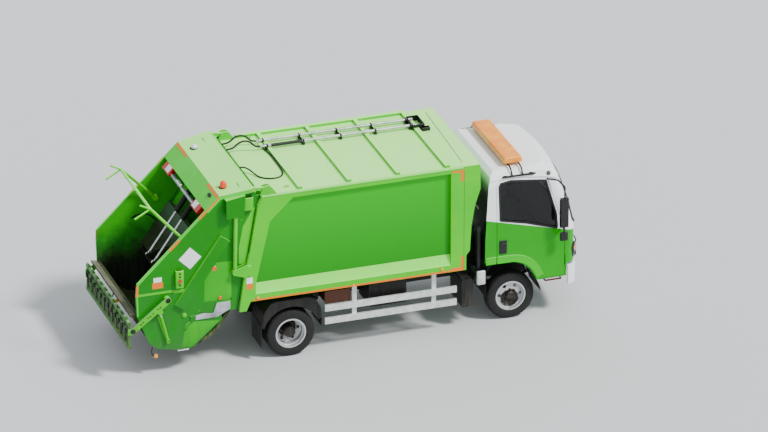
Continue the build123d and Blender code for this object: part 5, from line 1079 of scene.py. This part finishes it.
# %% Controls, strip lamps and stalk lamps
CONTROL_FACE = -1100
piece("control_box", [pebble((-1832, CONTROL_FACE, 1446), (-1710, -1038, 1734), 10)], arm_enamel, "tailgate")
KNOB = [(0, 0), (0, 20), (8, 20), (8, 28), (20, 28), (24, 20), (25, 0)]
piece("stop_button", [lathe(KNOB, (-1771, CONTROL_FACE, 1570), RIGHT, 28)], red_lens, "tailgate")
BUTTON = [(0, 0), (0, 15), (7, 15), (9, 11), (9, 0)]
buttons = [lathe(BUTTON, (-1771, CONTROL_FACE, z), RIGHT, 20) for z in (1640, 1690, 1500)]
piece("control_buttons", buttons, black_abs, "tailgate")
strips = [pebble((-1800, -1036, 366), (-1620, -1006, 392), 8)]
piece("strip_lamps", both_sides(strips), clear_lens, "tailgate")
stalk = smooth_line([(-2190, -1000, 470), (-2205, -1004, 400), (-2180, -1004, 345), (-2150, -1004, 330)])
piece("lamp_stalks", both_sides([tube(stalk, 10)]), black_abs, "tailgate")
STALK_LAMP = [(-24, 0), (-24, 26), (0, 34), (20, 34), (26, 26), (28, 0)]
stalk_lamps = [lathe(STALK_LAMP, (-2140, -1004, 326), AHEAD, 28)]
piece("stalk_lamps", both_sides(stalk_lamps), amber_lens, "tailgate")

# %% [markdown]
# ## Beacons and crown
# On top stand two warning lamps, one orange and tall and one clear and low. They take the place of the CAD
# beacons, because the turned profile gives each its own dome and foot. The rear slopes carry a black oval
# lens, clear lamp windows and more tape, laid in the slopes' own directions.

# %% Beacons
SLOPE_OUT, SLOPE_ALONG, SLOPE_DOWN = (-0.691, 0, 0.723), (-0.723, 0, -0.691), (-0.695, 0, -0.719)
lens_middle = np.array([-1199, -803, 2775]) + 2 * np.array(SLOPE_OUT)
piece("crown_lens", [plate(oval((0, 0), 30, 62), lens_middle, SLOPE_ALONG, RIGHT, 14)], black_abs, "tailgate",
      bevel=4)
DOME = [(0, 0), (0, 50), (18, 50), (36, 44), (52, 28), (58, 0)]
FOOT = [(0, 0), (0, 70), (10, 70), (16, 60), (16, 0)]
BEACON = [(0, 0), (0, 55), (30, 54), (80, 46), (92, 34), (95, 0)]
NEAR_BEACON, FAR_BEACON = (-979, -788, 2862), (-965, 686, 2866)
piece("beacon_feet", [lathe(FOOT, place, UP, 36) for place in (NEAR_BEACON, FAR_BEACON)], black_abs,
      "tailgate", stands_for=("beacons",))
piece("beacon_near", [lathe(BEACON, np.add(NEAR_BEACON, (0, 0, 14)), UP, 36)], orange_lens, "tailgate",
      stands_for=("beacons",))
piece("beacon_far", [lathe(DOME, np.add(FAR_BEACON, (0, 0, 12)), UP, 36)], clear_lens, "tailgate",
      stands_for=("beacons",))

# %% Lamp bar, handles, lamp windows and crown tape
piece("lamp_bar", [pebble((-1392, -540, 2520), (-1352, 540, 2572), 10)], bare_steel, "tailgate")
piece("plate_lamp", [pebble((-1402, 60, 2560), (-1356, 260, 2596), 10)], clear_lens, "tailgate")
grip = smooth_line([(-760, y, z) for y, z in ((-930, 2850), (-930, 2905), (-790, 2905), (-790, 2850))], 5)
piece("crown_handles", both_sides([tube(grip, 9)]), crown_enamel, "tailgate")
windows = [plate(rectangle(6, 112, 600, 740), (-1342, 0, 2638), SLOPE_DOWN, RIGHT, 8)]
piece("rear_lamp_windows", both_sides(windows), clear_lens, "tailgate", bevel=3)
crown_tape = [plate(rectangle(6, 50, 520, 1020), (-1120, 0, 2850), SLOPE_ALONG, RIGHT, 3)]
piece("crown_tape", both_sides(crown_tape), orange_tape, "tailgate")

# %% [markdown]
# ## Head boxes, hopper and comb
# A box and a long plate stand at the tailgate's head on each side. In the hopper a dark arc runs along each
# side, and the sill is worn bare by bins. The comb's rubber pads and dirty sheets ride on the bin
# lift, so they swing with it.

# %% Head boxes and hopper
FRONT_PLATE = [(-604, 2560), (-756, 2300), (-824, 1950), (-824, 1680), (-720, 1680), (-690, 1850), (-560, 2600)]
heads = [pebble((-756, -1098, 2572), (-604, -1038, 2782), 8), side_sheet(FRONT_PLATE, CHEEK, 5)]
piece("head_boxes", both_sides(heads), lime_enamel, "tailgate")
ARC_LINE = smooth_line([(-1890, 1694), (-1746, 1739), (-1587, 1697), (-1461, 1526), (-1433, 1267)])
arc = [ribbon(ARC_LINE, 22, lambda x, z: np.full(np.shape(x), -1005.0), 5)]
piece("hopper_arcs", both_sides(arc), frame_enamel, "tailgate")
sill_wear = plate(
    [(0, 0), (100, 0), (100, 1996), (0, 1996)], (-2443, 998, 1052.5), (-0.944, 0, 0.330), RIGHT, 3)
piece("sill_wear_plate", [sill_wear], sill_steel, "tailgate")

# %% Comb and arm bosses
PAD_PLACES = np.array([-1010, -820, -640, -455, -270, -90, 90, 270, 455, 640, 820, 1010], float)
pads = [pebble((-2622, y - 26, 806), (-2550, y + 26, 868), 9) for y in PAD_PLACES]
piece("comb_pads", pads, hose_rubber, "bin_lift")
sheets = [plate(rectangle(-1072, 1072, low, high), (-2572, 0, 0), (0, 1, 0), UP, 5)
          for low, high in ((606, 820), (858, 953))]
piece("comb_sheets", sheets, comb_grime, "bin_lift")
RING = [(0, 0), (0, 40), (6, 40), (8, 34), (8, 20), (14, 17), (14, 0)]
ARM_FACE = -1122
arm_bosses = [lathe(RING, (x, ARM_FACE, z), RIGHT, 28) for x, z in ((-1968, 1282), (-2526, 851))]
arm_bosses += [lathe(disc(12, 6, 2), (x, ARM_FACE, z), RIGHT, 16)
               for x, z in ((-2090, 1188), (-2250, 1064), (-2400, 948))]
piece("arm_bosses", both_sides(arm_bosses), dark_steel, "bin_lift")

# %% [markdown]
# ## Cab
# The cab's sides lean in as they rise and taper to the front, so trim can't be a flat plate. The same table
# of sections that shapes the solid gives how far out its side is at any place, and a ribbon of rubber or
# metal is carried along the window's outline on that surface.

# %% Cab side surface
CAB_SECTIONS = np.array([  # height, rear end, half width at the rear, half width at the front, corner
    (640, 3130, 1000, 985, 4640), (1450, 3138, 1000, 985, 4632), (1860, 3165, 985, 965, 4530),
    (2300, 3200, 955, 930, 4380), (2440, 3240, 905, 885, 4315), (2500, 3320, 800, 785, 4165)], float)


def cab_section(z, column):
    """One column of the cab's sections at a height, blended between the two nearest."""
    return np.interp(z, CAB_SECTIONS[:, 0], CAB_SECTIONS[:, column])


def cab_out(x, z):
    """How far out the cab's side is: its half width, blended by height between sections and along each one."""
    x, z = np.asarray(x, float), np.asarray(z, float)
    rear, half_rear, half_front, front = (cab_section(z, k) for k in (1, 2, 3, 4))
    share = np.clip((x - rear) / (front - rear), 0, 1)
    return half_rear + share * (half_front - half_rear)


print("1.6 m up, the cab's side is", round(float(cab_out(3600, 1600))), "mm out")

# %% Door trims, arch trims and mirror glasses
WINDOW = [(3385, 1735), (3375, 2290), (3400, 2330), (3565, 2352), (4130, 2285), (4290, 1722), (4310, 1478),
          (3800, 1640), (3385, 1735)]
ARCH = smooth_line([(3333, 1051), (3480, 1048), (3632, 1040), (3790, 984), (3922, 868), (4016, 694)], 5)
ARCH_WIDTH, ARCH_PROUD, ARCH_OFFSET = 120, 9, 28
door_black = [ribbon(even_line(WINDOW, 8), 30, cab_out, 5), pebble((3364, -1008, 1176), (3490, -990, 1404), 14),
              pebble((3374, -1026, 1322), (3480, -1002, 1362), 9)]
door_arch = [ribbon(ARCH, ARCH_WIDTH, cab_out, ARCH_PROUD, ARCH_OFFSET)]
glasses = [plate(rectangle(-22, 22, -215, 215), (4300, -1133, 1790), RIGHT, UP, 2),
           plate(rectangle(-20, 20, -48, 48), (4310, -1128, 1387), RIGHT, UP, 2)]
for side, _ in SIDES:
    trims, arch, glass = door_black, door_arch, glasses
    if side == "left":
        trims, arch, glass = ([mirrored(part) for part in parts] for parts in (trims, arch, glass))
    piece("mirror_glass_" + side, glass, mirror_glass, "door_" + side)
    piece("door_trim_" + side, trims, black_abs, "door_" + side)
    piece("door_arch_trim_" + side, arch, arch_enamel, "door_" + side, bevel=3)
rear_arch = [ribbon([(x, 1052) for x in (3150, 3200, 3260, 3318)], ARCH_WIDTH, cab_out, ARCH_PROUD, ARCH_OFFSET)]
piece("cab_arch_trim", both_sides(rear_arch), arch_enamel, "cab", bevel=3)

# %% [markdown]
# ## Arch liners
# A dark liner closes each front wheel arch, following the door's lower edge and standing clear of the tyre
# at full lock. A liner is a bent sheet, so its path is carried sideways and given a second skin. Flat skirts
# and rubber flaps guard the rear wheels.


# %% Arch liners
def arch_liner(path, y_in, y_out, thickness):
    """Sheet: the path carried from y_in to y_out, with a second skin a thickness further from the wheel."""
    outer = path + thickness * across_path(path)
    corners = [(path, y_in), (path, y_out), (outer, y_out), (outer, y_in)]
    return band(np.stack([np.stack([p[:, 0], np.full(len(p), float(y)), p[:, 1]], 1) for p, y in corners], 1))


LINER_CORNERS = [(3156, 480), (3158, 780), (3196, 940), (3330, 1026), (3600, 1012), (3750, 952), (3868, 838),
                 (3958, 690), (4018, 570), (4056, 440)]
liner = arch_liner(smooth_line(LINER_CORNERS, 5), -458, -978, 5)
inner_wall = side_sheet([(3157, 560), *LINER_CORNERS[1:8], (4022, 560)], -454, 4)
piece("arch_liners", both_sides([liner, inner_wall]), black_abs, "cab")

# %% Mudguard skirts and mudflaps
SKIRT = [(-470, 566), (-440, 780), (-340, 925), (-250, 960), (280, 960), (400, 900), (470, 770), (488, 604)]
SKIRT_RADIUS = 458
round_wheel = np.linspace(0.12 * np.pi, 0.88 * np.pi, 25)
skirt_arc = zip(SKIRT_RADIUS * np.cos(round_wheel), HUB_HEIGHT + SKIRT_RADIUS * np.sin(round_wheel))
skirt = side_sheet([*SKIRT, *skirt_arc], -1054, 6)
inner_skirt = side_sheet([*SKIRT, (440, 520), (-430, 520)], -548, 4)
piece("mudguard_skirts", both_sides([skirt, inner_skirt]), frame_enamel, "chassis")
flaps = [pebble((-476, -1058, 215), (-468, -575, 600), 3), pebble((480, -1058, 440), (487, -575, 640), 3)]
piece("mudflaps", both_sides(flaps), hose_rubber, "chassis")

# %% [markdown]
# ## Steps, reservoir and roof gutters
# A step hangs below each door and a reservoir stands behind the cab. The roof's gutter curves over the door,
# so it is a ribbon on the same surface as the window's rubber.

# %% Steps, reservoir, gutters and roof cap
step = pebble((4120, -984, 590), (4395, -860, 622), 9)
piece("cab_steps", both_sides([step]), step_brown, "cab")
piece("reservoir", [pebble((3010, -1004, 700), (3148, -952, 934), 22)], guard_rail, "chassis")
GUTTER = [(3236, 2398), (3330, 2402), (3560, 2422), (3900, 2385), (4160, 2350), (4350, 2290)]
gutter = ribbon(smooth_line(GUTTER), 20, cab_out, 12)
piece("roof_gutters", both_sides([gutter]), white_enamel, "cab")
cap = lathe(disc(34, 14, 5), (4186, -905, 2384), (0, -0.8, 0.6), 28)
piece("roof_caps", [cap], black_abs, "cab")

# %% [markdown]
# ## Cab front
# The front bows outward: its distance ahead falls off with the square of the distance from the middle. The
# windscreen's rubber, the two wipers and the lamp bowls follow that bow; the blank plate hangs flat below.

# %% Cab front surface
FRONT_MIDDLE = np.array([(640, 4720), (1450, 4712), (1860, 4610), (2300, 4450), (2440, 4375), (2500, 4215)], float)
CORNER_RADIUS = 180


def front_at(y, z):
    """How far ahead the front is: the middle, less (middle - corner) * (y / half width) ** 2, and less the
    drop of a quarter circle of radius 180 at each corner."""
    y, z = np.asarray(y, float), np.asarray(z, float)
    middle = np.interp(z, FRONT_MIDDLE[:, 0], FRONT_MIDDLE[:, 1])
    half, corner = cab_section(z, 3), cab_section(z, 4)
    into_corner = np.clip(np.abs(y) - (half - CORNER_RADIUS), 0, CORNER_RADIUS - 1)
    drop = CORNER_RADIUS - np.sqrt(CORNER_RADIUS**2 - into_corner**2)
    return middle - (middle - corner) * (y / half) ** 2 - drop


def front_ribbon(path, width, proud):
    """Band along a (y, z) path on the cab's front, half the width either way and a little proud."""
    path = np.asarray(path, float)
    across = across_path(path) * width / 2
    corners = [(path - across, SUNK), (path + across, SUNK), (path + across, proud), (path - across, proud)]
    return band(np.stack(
        [np.stack([front_at(p[:, 0], p[:, 1]) + out, p[:, 0], p[:, 1]], 1) for p, out in corners], 1))


def front_tube(path, radius, off):
    """Tube along a (y, z) path that stands off the cab's front."""
    path = smooth_line(path, 6)
    return tube(np.stack([front_at(path[:, 0], path[:, 1]) + off, path[:, 0], path[:, 1]], 1), radius, 8)


print("0.7 m up, the cab's front is", round(float(front_at(0, 700))), "mm ahead of the rear axle")

# %% Windscreen rubber and wipers
SCREEN = [(-850, 1490), (850, 1490), (870, 1490), (905, 1560), (815, 2270), (-815, 2270), (-905, 1560),
          (-870, 1490), (-850, 1490)]
piece("windscreen_rubber", [front_ribbon(even_line(SCREEN, 10), 26, 5)], black_abs, "cab")
WIPER_FOOT_Z = 1452
wipers = []
for foot, tip in ((120, 660), (-560, -20)):
    middle = (foot + tip) / 2
    wipers += [front_tube([(foot, WIPER_FOOT_Z), (foot + 20, 1480), (middle + 40, 1560)], 7, 20),
               front_tube([(foot - 40, 1508), (middle, 1545), (tip, 1575)], 8, 14),
               lathe(disc(20, 24, 5), (float(front_at(foot, WIPER_FOOT_Z)) - 4, foot, WIPER_FOOT_Z),
                     (1, 0, 0.1), 20)]
piece("wipers", wipers, black_abs, "cab")

# %% [markdown]
# A headlamp is a bright bowl behind a clear cover. Here the CAD solid is the cover, so the dark bezel round
# it and the bowls seen in it are laid on its face: a turned bowl with a deep middle and a bulb in it.

# %% Lamps and their bezels
BOWL = [(-6, 0), (-6, 62), (4, 62), (7, 58), (2, 50), (-2, 30), (0, 16), (9, 12), (12, 0)]
BEZEL = [(640, 938), (930, 938), (948, 1080), (930, 1150), (660, 1150), (640, 1120), (640, 938)]
LAMP_Z, TURN_LAMP_Z = 1040, 1050
bowls = [lathe(BOWL, (float(front_at(y, LAMP_Z)) + 23, y, LAMP_Z), AHEAD, 32) for y in (-720, 720)]
piece("lamp_bowls", bowls, bare_steel, "cab")
turn_face = float(front_at(870, TURN_LAMP_Z))
turn_lamps = [
    pebble((turn_face - 4, low, TURN_LAMP_Z - 40), (turn_face + 29, low + 70, TURN_LAMP_Z + 40), 12)
    for low in (820, -890)]
piece("front_turn_lamps", turn_lamps, amber_lens, "cab")
bezels = [front_ribbon(even_line(BEZEL, 5) * [sign, 1], 16, 27) for sign in (1, -1)]
piece("lamp_bezels", bezels, black_abs, "cab")

# %% Grille backing and blank plate
GRILLE_LINE = [(y, 1095) for y in range(-556, 557, 40)]
piece("grille_backing", [front_ribbon(GRILLE_LINE, 178, 1.5)], black_abs, "cab")
piece("front_plate_blank", [pebble((4735, -260, 640), (4750, 260, 752), 6)], white_film, "chassis")

# %% [markdown]
# ## Floor and light
# A plain pale floor, an even sky, and a soft sun from above the right front, where the shadows in the
# photograph come from. The sun's disc is ten degrees wide, so its shadows have soft edges.

# %% Floor and light
FLOOR_REACH = 60.0
SKY_STRENGTH, SUN_STRENGTH, SUN_WIDTH = 1.1, 4.2, math.radians(10)
SUN_DIRECTION = Vector((-0.49, 0.42, -0.77))

floor_mesh = bpy.data.meshes.new("floor")
corners = [(x * FLOOR_REACH, y * FLOOR_REACH, 0) for x, y in ((-1, -1), (1, -1), (1, 1), (-1, 1))]
floor_mesh.from_pydata(corners, [], [(0, 1, 2, 3)])
floor = bpy.data.objects.new("floor", floor_mesh)
bpy.context.scene.collection.objects.link(floor)
# Sealed concrete: an even pale grey with no shine.
floor_paint, _, floor_shader, _ = finish_start("floor_concrete_sealed", Roughness=0.8)
floor_shader.inputs["Base Color"].default_value = linear("#c9cacb")
floor_mesh.materials.append(floor_paint)

sky = bpy.data.worlds.new("studio")
sky.use_nodes = True
sky.node_tree.nodes["Background"].inputs["Color"].default_value = linear("#e9eef4")
sky.node_tree.nodes["Background"].inputs["Strength"].default_value = SKY_STRENGTH
bpy.context.scene.world = sky
sun_data = bpy.data.lights.new("ceiling", "SUN")
sun_data.energy = SUN_STRENGTH
sun_data.angle = SUN_WIDTH
sun = bpy.data.objects.new("ceiling", sun_data)
sun.rotation_euler = SUN_DIRECTION.to_track_quat("-Z", "Y").to_euler()
bpy.context.scene.collection.objects.link(sun)
print("stage ready")
